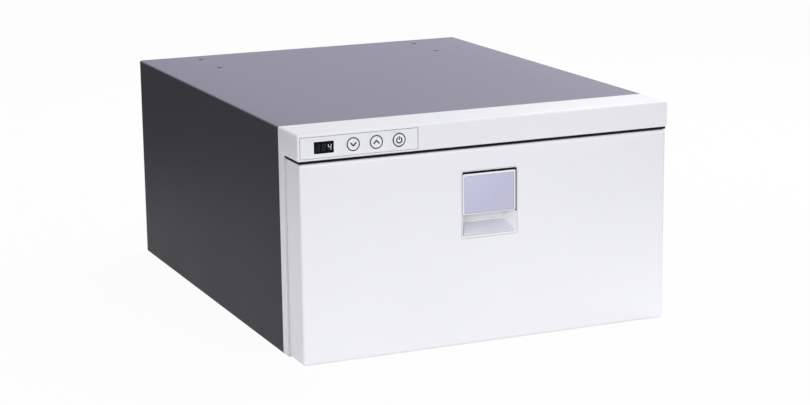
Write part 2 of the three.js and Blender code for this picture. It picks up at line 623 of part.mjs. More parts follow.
function controls() {
  const { clear, behind } = DISPLAY;
  const windowBack = PLATE_BACK + behind;
  const across = [DISPLAY_LEFT + clear, DISPLAY_RIGHT - clear];
  const up = [DISPLAY_LOW + clear, DISPLAY_HIGH - clear];
  add("control_panel_plate", controlPlate(), "white");
  add("display_window", block(...across, PLATE_FRONT + RUN, windowBack, ...up), "smoke");
  add("display_module", block(...across, windowBack + SEAT, BOARD_FRONT - SEAT, ...up), "black");
  add("control_board", controlBoard(), "board");
  for (const [name, place] of Object.entries(KEY_PLACES)) add(`button_${name}`, key(place), "white");
}

// The plate that the hook catches, with its slot and two screw holes.
function keeper() {
  const { half, corner, side, clear, plate } = KEEPER;
  const outline = rectangle(-half, half, KEEPER_LOW, KEEPER_HIGH, corner);
  const slot = HOOK_HALF + side;
  outline.holes.push(hole(-slot, slot, KEEPER_SLOT, HOOK_TOP - TONGUE.high + clear, clear));
  for (const x of [-KEEPER_SCREW.x, KEEPER_SCREW.x]) {
    const middle = (KEEPER_LOW + KEEPER_HIGH) / 2;
    outline.holes.push(new THREE.Path().absarc(x, middle, KEEPER_SCREW.radius, 0, 2 * Math.PI));
  }
  return extrude(outline, "y", BEZEL_FACE, BEZEL_FACE + plate, 2);
}

// ---------------------------------------------------------------- telescopic slides
// Each slide is three nested channels. Ball rows run in round raceways between their flanges.

// The middle of a raceway's sheet round a ball's centre.
function raceway(centre) {
  const [from, to] = [RACE_ARC.from, RACE_ARC.to].map(THREE.MathUtils.degToRad);
  return arc(centre.across, centre.up, RACE_MID, from, to, 3);
}

// A half profile from the web's middle upwards, mirrored to a whole channel.
function channel(up) {
  return [...up.map(([across, height]) => [across, -height]).reverse(), ...up];
}

// A channel of sheet on one side of the cavity, between two values along it.
function profile(side, line, sheet, from, to) {
  const points = line.map(([across, height]) => [
    side * (OPENING_HALF - SEAT - across),
    SLIDE_CENTRE + height,
  ]);
  return extrude(foldedStrip(points, sheet), "y", from, to);
}

function slideMember(side, line) {
  return profile(side, channel(line), SLIDE_SHEET, SLIDE_FRONT, SLIDE_BACK);
}

function slideOuter(side) {
  const web = SLIDE_SHEET / 2;
  const top = OUTER_BALLS.up + RACE_MID;
  return slideMember(side, [[web, top - OUTER.fold], [web + OUTER.fold, top], ...raceway(OUTER_BALLS)]);
}

function slideMiddle(side) {
  const { web, straight, fold, flange, near, far, lip, rise } = MIDDLE;
  const top = OUTER_BALLS.up - RACE_MID;
  return slideMember(side, [
    [web, INNER_BALLS.up - straight],
    [web, top - fold],
    [OUTER_BALLS.across - near, top - flange],
    [OUTER_BALLS.across + far, top - flange],
    [SLIDE_WIDTH - lip, top + rise],
  ]);
}

function slideInner(side) {
  const { straight, fold, flange, lip } = INNER;
  const web = SLIDE_WIDTH - SLIDE_SHEET / 2;
  const top = INNER_BALLS.up - RACE_MID;
  return slideMember(side, [
    [web, straight],
    [web, top - fold],
    [web - fold, top - flange],
    [INNER_BALLS.across - lip, top - flange],
  ]);
}

// A retainer strip that carries one row of balls above and one below.
function ballCage(side, balls, web) {
  const { sheet, end, straight, fold, set } = CAGE;
  const back = CAGE_FRONT + (BALLS_A_ROW - 1) * BALL_PITCH + 2 * end;
  const line = channel([
    [web, balls.up - straight],
    [web, balls.up - set],
    [web + fold, balls.up],
    [balls.across, balls.up],
  ]);
  const parts = [profile(side, line, sheet, CAGE_FRONT, back)];
  for (let i = 0; i < BALLS_A_ROW; i += 1)
    for (const height of [-balls.up, balls.up]) {
      const ball = new THREE.SphereGeometry(BALL_RADIUS, 6, 4);
      const x = side * (OPENING_HALF - SEAT - balls.across);
      parts.push(solid(ball.translate(x, CAGE_FRONT + end + i * BALL_PITCH, SLIDE_CENTRE + height)));
    }
  return joined(parts);
}

function slides() {
  for (const [name, side] of SIDES) {
    add(`slide_outer_${name}`, slideOuter(side), "zinc");
    add(`slide_middle_${name}`, slideMiddle(side), "zinc");
    add(`slide_inner_${name}`, slideInner(side), "zinc");
    add(`ball_cage_outer_${name}`, ballCage(side, OUTER_BALLS, OUTER.cageWeb), "steel");
    add(`ball_cage_inner_${name}`, ballCage(side, INNER_BALLS, INNER.cageWeb), "steel");
  }
}

// ---------------------------------------------------------------- drawer
// The latch housing's outline, grown all round.
function latchOutline(grow) {
  return rectangle(
    -LATCH_HALF - grow, LATCH_HALF + grow, LATCH_LOW - grow, LATCH_HIGH + grow, LATCH_CORNER + grow,
  );
}

function drawerSkin() {
  const outer = softBlock(
    -DRAWER_HALF, DRAWER_HALF, FRONT, DRAWER_BACK, DRAWER_LIFT, DRAWER_TOP, DRAWER_RADIUS, DRAWER_RADIUS,
  );
  const half = DRAWER_HALF - DRAWER_SKIN;
  const inside = block(
    -half, half, FRONT + DRAWER_SKIN, DRAWER_BACK + PAST, DRAWER_LIFT + DRAWER_SKIN, DRAWER_TOP - DRAWER_SKIN,
  );
  return outer.subtract(inside).subtract(extrude(latchOutline(SEAT), "y", FRONT - PAST, FRONT + PAST));
}

// The room inside the drawer front's skin, between two depths.
function skinFill(from, to) {
  const inset = DRAWER_SKIN + SEAT;
  const half = DRAWER_HALF - inset;
  return block(-half, half, from, to, DRAWER_LIFT + inset, DRAWER_TOP - inset);
}

function drawerFoam() {
  const foam = skinFill(FRONT + DRAWER_SKIN + SEAT, DRAWER_BACK - INNER_PANEL - SEAT);
  const housing = extrude(latchOutline(2 * SEAT), "y", FRONT, LATCH_BACK + 2 * SEAT);
  const way = HOOK_HALF + HOOK_WAY.side;
  const strip = block(
    -way, way, FRONT, HOOK_BACK + HOOK_WAY.side,
    HOOK_LOW - HOOK.drop - HOOK_WAY.side, HOOK_TOP + HOOK_WAY.skin,
  );
  const tongue = block(
    -way, way, FRONT, DRAWER_BACK, HOOK_SWEEP - HOOK_WAY.side, HOOK_TOP + HOOK_WAY.skin,
  );
  return foam.subtract(joined([housing, strip, tongue]));
}

function innerPanel() {
  const { inset, corner } = PLUG;
  const step = rectangle(
    -OPENING_HALF + inset, OPENING_HALF - inset, OPENING_LOW + inset, OPENING_HIGH - inset, corner,
  );
  const way = HOOK_HALF + HOOK_WAY.side;
  const slot = block(
    -way, way, DRAWER_BACK - INNER_PANEL - PAST, DRAWER_BACK + PAST,
    HOOK_SWEEP - HOOK_WAY.skin, HOOK_TOP + SEAT,
  );
  return skinFill(DRAWER_BACK - INNER_PANEL, DRAWER_BACK)
    .add(extrude(step, "y", DRAWER_BACK - BITE, PLUG_BACK, 2))
    .subtract(slot);
}

// The magnetic seal: a soft ring with a root on the inner panel, a waist, and a face on the bezel.
function gasket() {
  const ring = (wide, from, to) => {
    const half = OPENING_HALF + SEAL.inset;
    const [low, high] = [OPENING_LOW - SEAL.inset, OPENING_HIGH + SEAL.inset];
    const shape = rectangle(-half - wide, half + wide, low - wide, high + wide, SEAL.outer);
    shape.holes.push(hole(-half, half, low, high, SEAL.inner));
    return extrude(shape, "y", from, to);
  };
  const from = DRAWER_BACK + SEAT;
  const to = BEZEL_FACE - SEAT;
  const third = (to - from) / 3;
  return joined([
    ring(SEAL.root, from, from + third),
    ring(SEAL.wide, from, to),
    ring(SEAL.face, to - third, to),
  ]);
}

// A tub that narrows towards its floor, drawn in from the basin's outline.
function tub(inset, low, high) {
  const shape = rectangle(
    -BASIN_HALF + inset, BASIN_HALF - inset, BASIN_FRONT + inset, BASIN_BACK - inset, BASIN_CORNER - inset,
  );
  const geometry = new THREE.ExtrudeGeometry(shape, {
    depth: high - low,
    bevelEnabled: false,
    curveSegments: 3,
  });
  const points = geometry.getAttribute("position");
  const middle = (BASIN_FRONT + BASIN_BACK) / 2;
  for (let i = 0; i < points.count; i += 1) {
    const below = 1 - points.getZ(i) / (high - low);
    const scale = 1 - (below * BASIN_DRAFT) / BASIN_HALF;
    points.setX(i, points.getX(i) * scale);
    points.setY(i, middle + (points.getY(i) - middle) * scale);
  }
  return solid(geometry.translate(0, 0, low));
}

// A moulded tub with a turned-out rim, and floor ribs that keep food off the melt water.
function basin() {
  const half = BASIN_HALF + RIM.out;
  const rim = rectangle(-half, half, BASIN_FRONT - RIM.ends, BASIN_BACK + RIM.ends, RIM.corner);
  const floor = BASIN_LOW + BASIN_WALL;
  let made = tub(0, BASIN_LOW, BASIN_RIM)
    .add(extrude(rim, "z", BASIN_RIM - RIM.thick, BASIN_RIM, 3))
    .subtract(tub(BASIN_WALL, floor, BASIN_RIM + BITE));
  const { each, pitch, width, height, short } = FLOOR_RIBS;
  for (let i = -each; i <= each; i += 1) {
    const x = i * pitch;
    const [from, to] = [BASIN_FRONT + short, BASIN_BACK - short];
    made = made.add(block(x - width / 2, x + width / 2, from, to, floor - BITE, floor + height));
  }
  return made;
}

// A folded steel side: its web is bolted to the slide, its top flange carries the basin's rim, and
// its front tab is screwed to the drawer front.
function sideRail(side) {
  const web = OPENING_HALF - SLIDE_WIDTH - 2 * SEAT - RAIL.sheet / 2;
  const top = BASIN_RIM - RIM.thick - SEAT - RAIL.sheet / 2;
  const line = [
    [web, SLIDE_CENTRE - RAIL.under],
    [web, top - RAIL.fold],
    [web - RAIL.fold, top],
    [BASIN_HALF + RAIL.hold, top],
  ].map(([x, z]) => [side * x, z]);
  const front = PLUG_BACK + SEAT;
  const rail = extrude(foldedStrip(line, RAIL.sheet), "y", front, SLIDE_BACK);
  const [inner, outer] = [side * (web - RAIL_TAB.wide), side * web].sort((a, b) => a - b);
  const tab = block(
    inner, outer, front, front + RAIL_TAB.thick, SLIDE_CENTRE - RAIL_TAB.under, top - RAIL.fold,
  );
  const slots = Array.from({ length: RAIL_SLOT.count }, (_, i) => {
    const from = SLIDE_FRONT + RAIL_SLOT.first + i * RAIL_SLOT.pitch;
    const slot = rectangle(
      from, from + RAIL_SLOT.length, SLIDE_CENTRE + RAIL_SLOT.low, SLIDE_CENTRE + RAIL_SLOT.high,
      RAIL_SLOT.corner,
    );
    return extrude(slot, "x", side * web - RAIL.sheet, side * web + RAIL.sheet);
  });
  return rail.add(tab).subtract(joined(slots));
}

// ---------------------------------------------------------------- latch
// The finger scoop: wide at the face and drawn in towards its back, with a floor that climbs.
function scoop() {
  const wide = PADDLE_HALF + SCOOP.clear;
  const low = LATCH_LOW + SCOOP.lip;
  const top = PADDLE_TOP - SCOOP.drop;
  const ahead = PAST / SCOOP.depth;
  const mouth = [FRONT - PAST, wide + ahead * SCOOP.draft, low - ahead * SCOOP.rise];
  const rear = [FRONT + SCOOP.depth, wide - SCOOP.draft, low + SCOOP.rise];
  const points = [mouth, rear].flatMap(([y, half, floor]) => [
    [-half, y, floor], [half, y, floor], [half, y, top], [-half, y, top],
  ]);
  const faces = [
    [0, 1, 2], [0, 2, 3], [4, 6, 5], [4, 7, 6],
    [0, 5, 1], [0, 4, 5], [1, 6, 2], [1, 5, 6],
    [2, 7, 3], [2, 6, 7], [3, 4, 0], [3, 7, 4],
  ];
  const geometry = new THREE.BufferGeometry();
  geometry.setAttribute("position", new THREE.BufferAttribute(new Float32Array(points.flat()), 3));
  geometry.setIndex(faces.flat());
  return solid(geometry);
}

function latchHousing() {
  const inner = LATCH_HALF - LATCH_WALL;
  const deep = FRONT + LATCH_POCKET;
  const body = extrude(latchOutline(0), "y", FRONT, LATCH_BACK);
  const pocket = block(
    -inner, inner, FRONT - PAST, deep, PADDLE_LOW - PADDLE_UNDER, LATCH_HIGH - LATCH_WALL,
  );
  const guide = HOOK_HALF + SEAT;
  const way = block(
    -guide, guide, FRONT, LATCH_BACK + PAST, HOOK_LOW - HOOK.drop - HOOK_WAY.side, LATCH_HIGH + PAST,
  );
  const pinHole = bar(
    PIN_RADIUS + PIN_PRESS, "x", -LATCH_HALF - PAST, LATCH_HALF + PAST, PIVOT_Y, PIVOT_Z, 16,
  );
  const topWall = extrude(latchOutline(0), "y", FRONT, deep).intersect(
    block(-inner, inner, FRONT, deep, LATCH_HIGH - LATCH_WALL, LATCH_HIGH),
  );
  return body.subtract(joined([pocket, scoop(), way])).add(topWall).subtract(pinHole);
}

// The flap: a plate with a sunk face, hinge barrels, a finger lip, and behind it the crank that
// works the hook. A slot in its back makes room for the spring.
function paddle() {
  const back = PADDLE_FACE + PADDLE_PLATE;
  const floor = PADDLE_FACE + INSERT.sink;
  const { reach, half, thick, knob } = CRANK;
  const parts = [
    softBlock(
      -PADDLE_HALF, PADDLE_HALF, PADDLE_FACE, back, PADDLE_LOW, PADDLE_TOP, PADDLE_CORNER, PADDLE_EDGE,
    ),
    block(
      -PADDLE_HALF, PADDLE_HALF, back - BITE, back + FINGER_LIP.deep,
      PADDLE_LOW, PADDLE_LOW + FINGER_LIP.thick,
    ),
    bar(BARREL.radius, "x", -PADDLE_HALF, -BARREL.outer, PIVOT_Y, PIVOT_Z, 12),
    bar(BARREL.radius, "x", -BARREL.inner, BARREL.inner, PIVOT_Y, PIVOT_Z, 12),
    bar(BARREL.radius, "x", BARREL.outer, PADDLE_HALF, PIVOT_Y, PIVOT_Z, 12),
    block(-half, half, PIVOT_Y, PIVOT_Y + reach, PIVOT_Z - thick / 2, PIVOT_Z + thick / 2),
    bar(knob, "x", -half, half, KNOB_Y, PIVOT_Z, 10),
  ];
  const sunk = block(
    -INSERT_HALF - SEAT, INSERT_HALF + SEAT, PADDLE_FACE - PAST, floor, INSERT_LOW - SEAT, INSERT_HIGH + SEAT,
  );
  const { from, to, leg, wire, coil, clear } = SPRING;
  const slot = block(
    from - clear, to + clear, floor + clear, back + BITE, PIVOT_Z - leg - clear, PIVOT_Z + coil + wire + SEAT,
  );
  const bore = bar(PIN_RADIUS + RUN, "x", -LATCH_HALF, LATCH_HALF, PIVOT_Y, PIVOT_Z, 12);
  return joined(parts).subtract(joined([sunk, slot, bore]));
}

function paddleInsert() {
  const back = PADDLE_FACE + INSERT.sink - SEAT;
  return softBlock(
    -INSERT_HALF, INSERT_HALF, back - INSERT.thick, back, INSERT_LOW, INSERT_HIGH, INSERT.corner, INSERT.edge,
  );
}

function latchPin() {
  const end = LATCH_HALF - RUN * 2;
  return bar(PIN_RADIUS, "x", -end, end, PIVOT_Y, PIVOT_Z, 16);
}

// A coil of spring wire round the pin. One leg lies down the flap's back, and the other lies back
// against the housing.
function paddleSpring() {
  const { from, to, turns, leg, rear, wire, coil } = SPRING;
  const around = 8;
  const steps = turns * around;
  const points = [[from, PIVOT_Y - coil, PIVOT_Z - leg], [from, PIVOT_Y - coil, PIVOT_Z - leg / 2]];
  for (let i = 0; i <= steps; i += 1) {
    const angle = (2 * Math.PI * i) / around;
    const x = from + ((to - from) * i) / steps;
    points.push([x, PIVOT_Y - coil * Math.cos(angle), PIVOT_Z + coil * Math.sin(angle)]);
  }
  points.push([to, PIVOT_Y + rear / 2, PIVOT_Z + coil], [to, PIVOT_Y + rear, PIVOT_Z + coil]);
  return pipe(wire, points, steps + 6, 5);
}

// The sliding hook: a strip worked by the flap's crank, with a tongue that reaches back through the
// drawer front to the keeper. The tongue's barb has a ramp behind, so it also latches by a push.
function latchHook() {
  const low = HOOK_TOP - TONGUE.low;
  const high = HOOK_TOP - TONGUE.high;
  const face = BEZEL_FACE + KEEPER.plate + TONGUE.catch;
  const barb = new THREE.Shape();
  barb.moveTo(face, high - BITE).lineTo(HOOK_END, high - BITE).lineTo(HOOK_END, high);
  barb.lineTo(face + TONGUE.ramp, HOOK_TOP).lineTo(face, HOOK_TOP).closePath();
  const eye = CRANK.knob + SEAT;
  const window = block(
    -CRANK.half - SEAT, CRANK.half + SEAT, HOOK_FRONT - PAST, HOOK_BACK + PAST, PIVOT_Z - eye, PIVOT_Z + eye,
  );
  return block(-HOOK_HALF, HOOK_HALF, HOOK_FRONT, HOOK_BACK, HOOK_LOW, HOOK_TOP)
    .subtract(window)
    .add(block(-HOOK_HALF, HOOK_HALF, HOOK_BACK - BITE, HOOK_END, low, high))
    .add(extrude(barb, "x", -HOOK_HALF, HOOK_HALF));
}

// ---------------------------------------------------------------- refrigeration
// A roll-bonded aluminium plate with a raised refrigerant channel, and its two pipe ends.
function evaporator() {
  const [half, low, high, back] = [COIL_PLATE_HALF, COIL_PLATE_LOW, COIL_PLATE_HIGH, COIL_PLATE_BACK];
  const outline = rectangle(-half, half, low, high, PLATE_COIL.corner);
  const parts = [extrude(outline, "y", back - PLATE_COIL.thick, back)];
  const { rows, end, side, wide } = COIL_CHANNEL;
  const rear = back - PLATE_COIL.thick + BITE;
  const pitch = (high - low - 2 * end) / (rows - 1);
  for (let i = 0; i < rows; i += 1) {
    const z = low + end + i * pitch;
    parts.push(
      block(-half + side, half - side, COIL_PLATE_FRONT, rear, z - wide / 2, z + wide / 2),
    );
    const x = i % 2 ? half - side - wide : -half + side;
    if (i < rows - 1) parts.push(block(x, x + wide, COIL_PLATE_FRONT, rear, z, z + pitch));
  }
  const { flange, long } = PIPE_END;
  parts.push(bar(PIPES.suction, "y", back - BITE, back + long, PIPES.suctionX, PIPES.z, 12));
  parts.push(bar(PIPES.feed + flange, "y", back - BITE, back + long, PIPES.feedX, PIPES.z, 12));
  return joined(parts);
}

// A sealed sensor in a clip on the evaporator's front.
function temperatureProbe() {
  const { radius, left, right, clipLeft, clipRight, clip } = PROBE;
  const z = COIL_PLATE_LOW + COIL_CHANNEL.end;
  const back = COIL_PLATE_FRONT - SEAT;
  const holder = block(clipLeft, clipRight, back - 2 * radius, back, z - clip, z + clip);
  return bar(radius, "x", left, right, back - radius, z, 12).add(holder);
}

// Where the pot's four feet stand, as [x, y].
const FEET = [-1, 1].flatMap((side) =>
  [-1, 1].map((end) => [POT.x + side * FOOT.holeX, POT_Y + end * FOOT.holeY]),
);

// A hermetic pot: two drawn shells with a weld flange, on a foot plate, with two pipe stubs on top.
function compressor() {
  const { x, low, high, radius, stretch, dome, crown } = POT;
  const weld = low + WELD.height;
  const lower = radius - WELD.lower;
  const upper = radius - WELD.upper;
  const profile = [
    [0, low],
    ...arc(lower - dome, low + dome, dome, -Math.PI / 2, 0, 3),
    [lower, weld - WELD.half],
    [radius, weld - WELD.half],
    [radius, weld + WELD.half],
    [upper, weld + WELD.half],
    ...arc(upper - crown, high - crown, crown, 0, Math.PI / 2, 4),
    [0, high],
  ];
  const { halfX, halfY, corner, thick, bore } = FOOT;
  const outline = rectangle(x - halfX, x + halfX, POT_Y - halfY, POT_Y + halfY, corner);
  const holes = FEET.map(([a, b]) => bar(bore, "z", low - thick - PAST, low + PAST, a, b, 12));
  return joined([
    turned(profile, x, POT_Y, 16, stretch),
    extrude(outline, "z", low - thick, low + BITE).subtract(joined(holes)),
    bar(PIPES.suction, "z", high - STUB.root, STUB_TOP, x + STUB.suction, POT_Y, 10),
    bar(PIPES.discharge, "z", high - STUB.root, STUB_TOP, x + STUB.discharge, POT_Y, 10),
  ]);
}

// A rubber bobbin under a compressor foot, with a neck up through the foot plate.
function grommet([x, y]) {
  const { radius, waist, neck, above, grooves } = GROMMET;
  const low = FLOOR_TOP + SEAT;
  const top = POT.low - FOOT.thick - SEAT;
  const profile = [
    [0, low],
    [radius, low],
    ...grooves.map((below, i) => [i % 2 ? waist : radius, top - below]),
    [radius, top],
    [neck, top],
    [neck, top + above],
    [0, top + above],
  ];
  return turned(profile, x, y, 8);
}

// The electronic unit clipped to the pot's side, with cooling ribs and a terminal strip.
function controller() {
  const right = POT.x - POT.radius * POT.stretch - SEAT;
  const left = right - DRIVE.deep;
  const body = rectangle(POT_Y - DRIVE.halfY, POT_Y + DRIVE.halfY, DRIVE.low, DRIVE.high, DRIVE.corner);
  const parts = [extrude(body, "x", left, right)];
  const { count, pitch, width, deep, first, low, high } = DRIVE_RIBS;
  for (let i = 0; i < count; i += 1) {
    const y = POT_Y + first + i * pitch;
    parts.push(block(left - deep, left + BITE, y, y + width, low, high));
  }
  const { inset, halfY } = DRIVE_PLUG;
  parts.push(
    block(left + inset, right - inset, POT_Y - halfY, POT_Y + halfY, DRIVE_PLUG.low, DRIVE_PLUG.high),
  );
  return joined(parts);
}

// Copper tube in a serpentine through a stack of fins, between two end plates that stand on the base.
function condenser() {
  const { rows, pitch, tube, end } = COIL;
  const parts = [];
  for (let row = 0; row < rows; row += 1) {
    const outer = row === 0 || row === rows - 1;
    const z = COIL_LOW + row * pitch;
    parts.push(bar(tube, "x", COIL_LEFT - end, outer ? COIL_PORT : COIL_RIGHT + end, COIL_Y, z, 6));
    if (row === rows - 1) break;
    const turn = row % 2 ? 1 : -1;
    const x = row % 2 ? COIL_RIGHT + end : COIL_LEFT - end;
    const bend = arc(x, z + pitch / 2, pitch / 2, -Math.PI / 2, Math.PI / 2, 5);
    parts.push(pipe(tube, bend.map(([a, b]) => [x + turn * (a - x), COIL_Y, b]), 5));
  }
  const { count, half, endHalf, ahead, over } = FINS;
  for (let i = 0; i < count; i += 1) {
    const last = i === 0 || i === count - 1;
    const thick = last ? endHalf : half;
    const x = COIL_LEFT + (i * (COIL_RIGHT - COIL_LEFT)) / (count - 1);
    const low = last ? FLOOR_TOP + SEAT : COIL_LOW - over;
    parts.push(block(x - thick, x + thick, COIL_Y - ahead, FAN_FRONT - SEAT, low, COIL_HIGH + over));
  }
  return joined(parts);
}

// A square frame round the bore, with four struts at the back that carry the bearing.
function fanFrame() {
  const half = FAN.size / 2;
  const outline = rectangle(FAN_X - half, FAN_X + half, FAN_Z - half, FAN_Z + half, FAN.corner);
  const body = extrude(outline, "y", FAN_FRONT, FAN_BACK, 2).subtract(
    bar(FAN.bore, "y", FAN_FRONT - PAST, FAN_BACK + PAST, FAN_X, FAN_Z, 28),
  );
  const parts = [body, bar(FAN.hub, "y", FAN_BACK - STRUT.deep, FAN_BACK, FAN_X, FAN_Z, 24)];
  const start = FAN.hub / 2;
  const reach = FAN.bore + STRUT.sunk - start;
  for (let i = 0; i < STRUT.count; i += 1) {
    const strut = new THREE.BoxGeometry(reach, STRUT.deep, STRUT.wide);
    strut.translate(start + reach / 2, 0, 0).rotateY((2 * Math.PI * (i + STRUT.turn)) / STRUT.count);
    parts.push(solid(strut.translate(FAN_X, FAN_BACK - STRUT.deep / 2, FAN_Z)));
  }
  const holes = [bar(FAN.shaft + RUN, "y", FAN_BACK - PAST, FAN_BACK + PAST, FAN_X, FAN_Z, 12)];
  const { radius, place } = FAN_HOLE;
  for (const x of [FAN_X - place, FAN_X + place])
    for (const z of [FAN_Z - place, FAN_Z + place])
      holes.push(bar(radius, "y", FAN_FRONT - PAST, FAN_BACK + PAST, x, z, 8));
  return joined(parts).subtract(joined(holes));
}

// A blade's plan: its root in the hub, both edges swept forwards, its tip past the bore.
function bladePlan() {
  const root = FAN.hub - BLADE.root;
  const tip = FAN.bore + BLADE.over;
  const plan = new THREE.Shape();
  plan.moveTo(root, -BLADE.rootHalf);
  plan.quadraticCurveTo(BLADE_SWEEP.leadX, -BLADE_SWEEP.lead, tip, -BLADE.lead);
  plan.lineTo(tip, BLADE.trail);
  plan.quadraticCurveTo(BLADE_SWEEP.trailX, BLADE_SWEEP.trail, root, BLADE.rootHalf);
  return plan.closePath();
}

// Swept, pitched blades on a cup-shaped hub, with its shaft in the frame's bearing.
function fanRotor() {
  const back = FAN_BACK - STRUT.deep - SEAT;
  const front = FAN_FRONT + ROTOR.front;
  const depth = BLADE.thick;
  const blades = Array.from({ length: FAN.blades }, (_, i) => {
    const sheet = new THREE.ExtrudeGeometry(bladePlan(), { depth, bevelEnabled: false, curveSegments: 3 });
    sheet.translate(0, 0, -depth / 2).rotateX(THREE.MathUtils.degToRad(BLADE.pitch));
    sheet.rotateY((2 * Math.PI * i) / FAN.blades).translate(FAN_X, (front + back) / 2, FAN_Z);
    return solid(sheet);
  });
  const sweep = bar(FAN.bore - BLADE.tip, "y", front, back - BITE, FAN_X, FAN_Z, 28);
  return joined([
    bar(FAN.hub, "y", front, back, FAN_X, FAN_Z, 24),
    joined(blades).intersect(sweep),
    bar(FAN.shaft, "y", back - BITE, FAN_BACK - ROTOR.bearing, FAN_X, FAN_Z, 12),
  ]);
}

// From the pot's discharge stub, over it and down to the condenser's upper port.
function dischargeLine() {
  const x = POT.x + STUB.discharge;
  const top = STUB_TOP + SEAT;
  const port = COIL_PORT + SEAT;
  return pipe(PIPES.discharge, [
    [x, POT_Y, top],
    [x, POT_Y, top + 10],
    [x - 6, POT_Y, top + 28],
    [x - 30, POT_Y, top + 38],
    [x - 96, POT_Y, top + 36],
    [x - 112, POT_Y + 6, top + 20],
    [port + 19.7, COIL_Y, COIL_HIGH + 22],
    [port + 14.7, COIL_Y, COIL_HIGH + 4],
    [port + 6, COIL_Y, COIL_HIGH],
    [port, COIL_Y, COIL_HIGH],
  ], 24);
}

// From the condenser's lower port up to the drier.
function liquidLine() {
  const port = COIL_PORT + SEAT;
  return pipe(PIPES.liquid, [
    [port, COIL_Y, COIL_LOW],
    [port + 6, COIL_Y, COIL_LOW],
    [DRIER.x - 3, COIL_Y, COIL_LOW + 4],
    [DRIER.x, COIL_Y, COIL_LOW + 18],
    [DRIER.x, COIL_Y, DRIER.low - SEAT],
  ], 12);
}

function filterDrier() {
  const { x, low, high, radius, neck, inlet, outlet, cone, step } = DRIER;
  const profile = [
    [0, low], [neck, low], [inlet, low + step], [radius, low + cone],
    [radius, high - cone], [neck, high - step], [outlet, high], [0, high],
  ];
  return turned(profile, x, COIL_Y, 12);
}

// A thin line from the drier through the rear wall to the evaporator.
function capillaryLine() {
  const { feed, feedX, z } = PIPES;
  return pipe(feed, [
    [DRIER.x, COIL_Y, DRIER.high + SEAT],
    [DRIER.x, COIL_Y, DRIER.high + 6],
    [DRIER.x + 2, COIL_Y - 10, DRIER.high + 24],
    [feedX, FOAM_BACK + 35.5, DRIER.high + 26],
    [feedX, FOAM_BACK + 17.5, z + 6],
    [feedX, FOAM_BACK + 7.5, z],
    [feedX, FOAM_BACK - 14.5, z],
    [feedX, COIL_PLATE_BACK + PIPE_END.long + SEAT, z],
  ], 20);
}

// From the evaporator through the rear wall, up and over to the pot's suction stub.
function suctionLine() {
  const { suction, suctionX, z } = PIPES;
  const x = POT.x + STUB.suction;
  const top = STUB_TOP + SEAT;
  return pipe(suction, [
    [suctionX, COIL_PLATE_BACK + PIPE_END.long + SEAT, z],
    [suctionX, FOAM_BACK - 14.5, z],
    [suctionX, FOAM_BACK + 5.5, z],
    [suctionX + 6, FOAM_BACK + 21.5, z + 6],
    [suctionX + 26, FOAM_BACK + 37.5, z + 26],
    [x - 16, POT_Y - 6, top + 38],
    [x - 1, POT_Y, top + 26],
    [x, POT_Y, top + 10],
    [x, POT_Y, top],
  ], 20);
}

// The vented rear panel: slots over the fan, a row beside them over the compressor, and a lead hole.
function rearPanel() {
  const outline = insideOutline();
  const { count, pitch, first, width, reach, least, side, rise } = REAR_SLOTS;
  for (let i = 0; i < count; i += 1) {
    const up = first + i * pitch;
    const z = FAN_Z + up;
    const half = Math.sqrt(Math.max(reach ** 2 - up ** 2, least ** 2));
    outline.holes.push(hole(FAN_X - half, FAN_X + half, z - width / 2, z + width / 2, width / 2));
    outline.holes.push(hole(POT.x - side, POT.x + side, z + rise, z + rise + width, width / 2));
  }
  const leadHole = bar(GLAND.neck + SEAT, "y", REAR_FACE - PAST, REAR_PANEL + PAST, GLAND.x, GLAND.z, 16);
  return extrude(outline, "y", REAR_FACE, REAR_PANEL).subtract(leadHole);
}

// A grommet for the mains lead: a neck through the panel and a collar behind it, with a bore.
function cableGland() {
  const { x, z, neck, collar, nose, bore, inside, tip } = GLAND;
  return joined([
    bar(neck, "y", REAR_PANEL - inside, REAR_PANEL + SEAT + BITE, x, z, 16),
    bar(collar, "y", REAR_PANEL + SEAT, BACK - tip, x, z, 16),
    bar(nose, "y", BACK - tip - BITE, BACK - SEAT, x, z, 16),
  ]).subtract(bar(bore, "y", REAR_PANEL - inside - PAST, BACK + PAST, x, z, 12));
}

// ---------------------------------------------------------------- the object
add("cabinet_shell", cabinetShell(), "cabinet");
add("base_plate", basePlate(), "zinc");
add("insulation_foam", insulation(), "foam");
add("inner_liner", innerLiner(), "liner");
add("front_bezel", frontBezel(), "white");
add("header_lip", headerLip(), "rubber");
controls();
add("latch_keeper", keeper(), "steel");
slides();
add("drawer_front_skin", drawerSkin(), "white");
add("drawer_front_foam", drawerFoam(), "foam");
add("drawer_inner_panel", innerPanel(), "liner");
add("drawer_gasket", gasket(), "gasket");
add("drawer_basin", basin(), "liner");
for (const [name, side] of SIDES) add(`side_rail_${name}`, sideRail(side), "zinc");
add("latch_housing", latchHousing(), "white");
add("latch_paddle", paddle(), "white");
add("paddle_insert", paddleInsert(), "silver");
add("latch_pin", latchPin(), "steel");
add("paddle_spring", paddleSpring(), "steel");
add("latch_hook", latchHook(), "steel");
add("evaporator_plate", evaporator(), "aluminium");
add("temperature_probe", temperatureProbe(), "black");
add("compressor", compressor(), "enamel");
FEET.forEach((foot, i) => add(`compressor_grommet_${i + 1}`, grommet(foot), "rubber"));
add("compressor_controller", controller(), "black");
add("condenser", condenser(), "aluminium");
add("fan_frame", fanFrame(), "black");
add("fan_rotor", fanRotor(), "black");
add("discharge_line", dischargeLine(), "copper");
add("liquid_line", liquidLine(), "copper");
add("filter_drier", filterDrier(), "copper");
add("capillary_line", capillaryLine(), "copper");
add("suction_line", suctionLine(), "copper");
add("rear_panel", rearPanel(), "cabinet");
add("cable_gland", cableGland(), "rubber");

export default object;
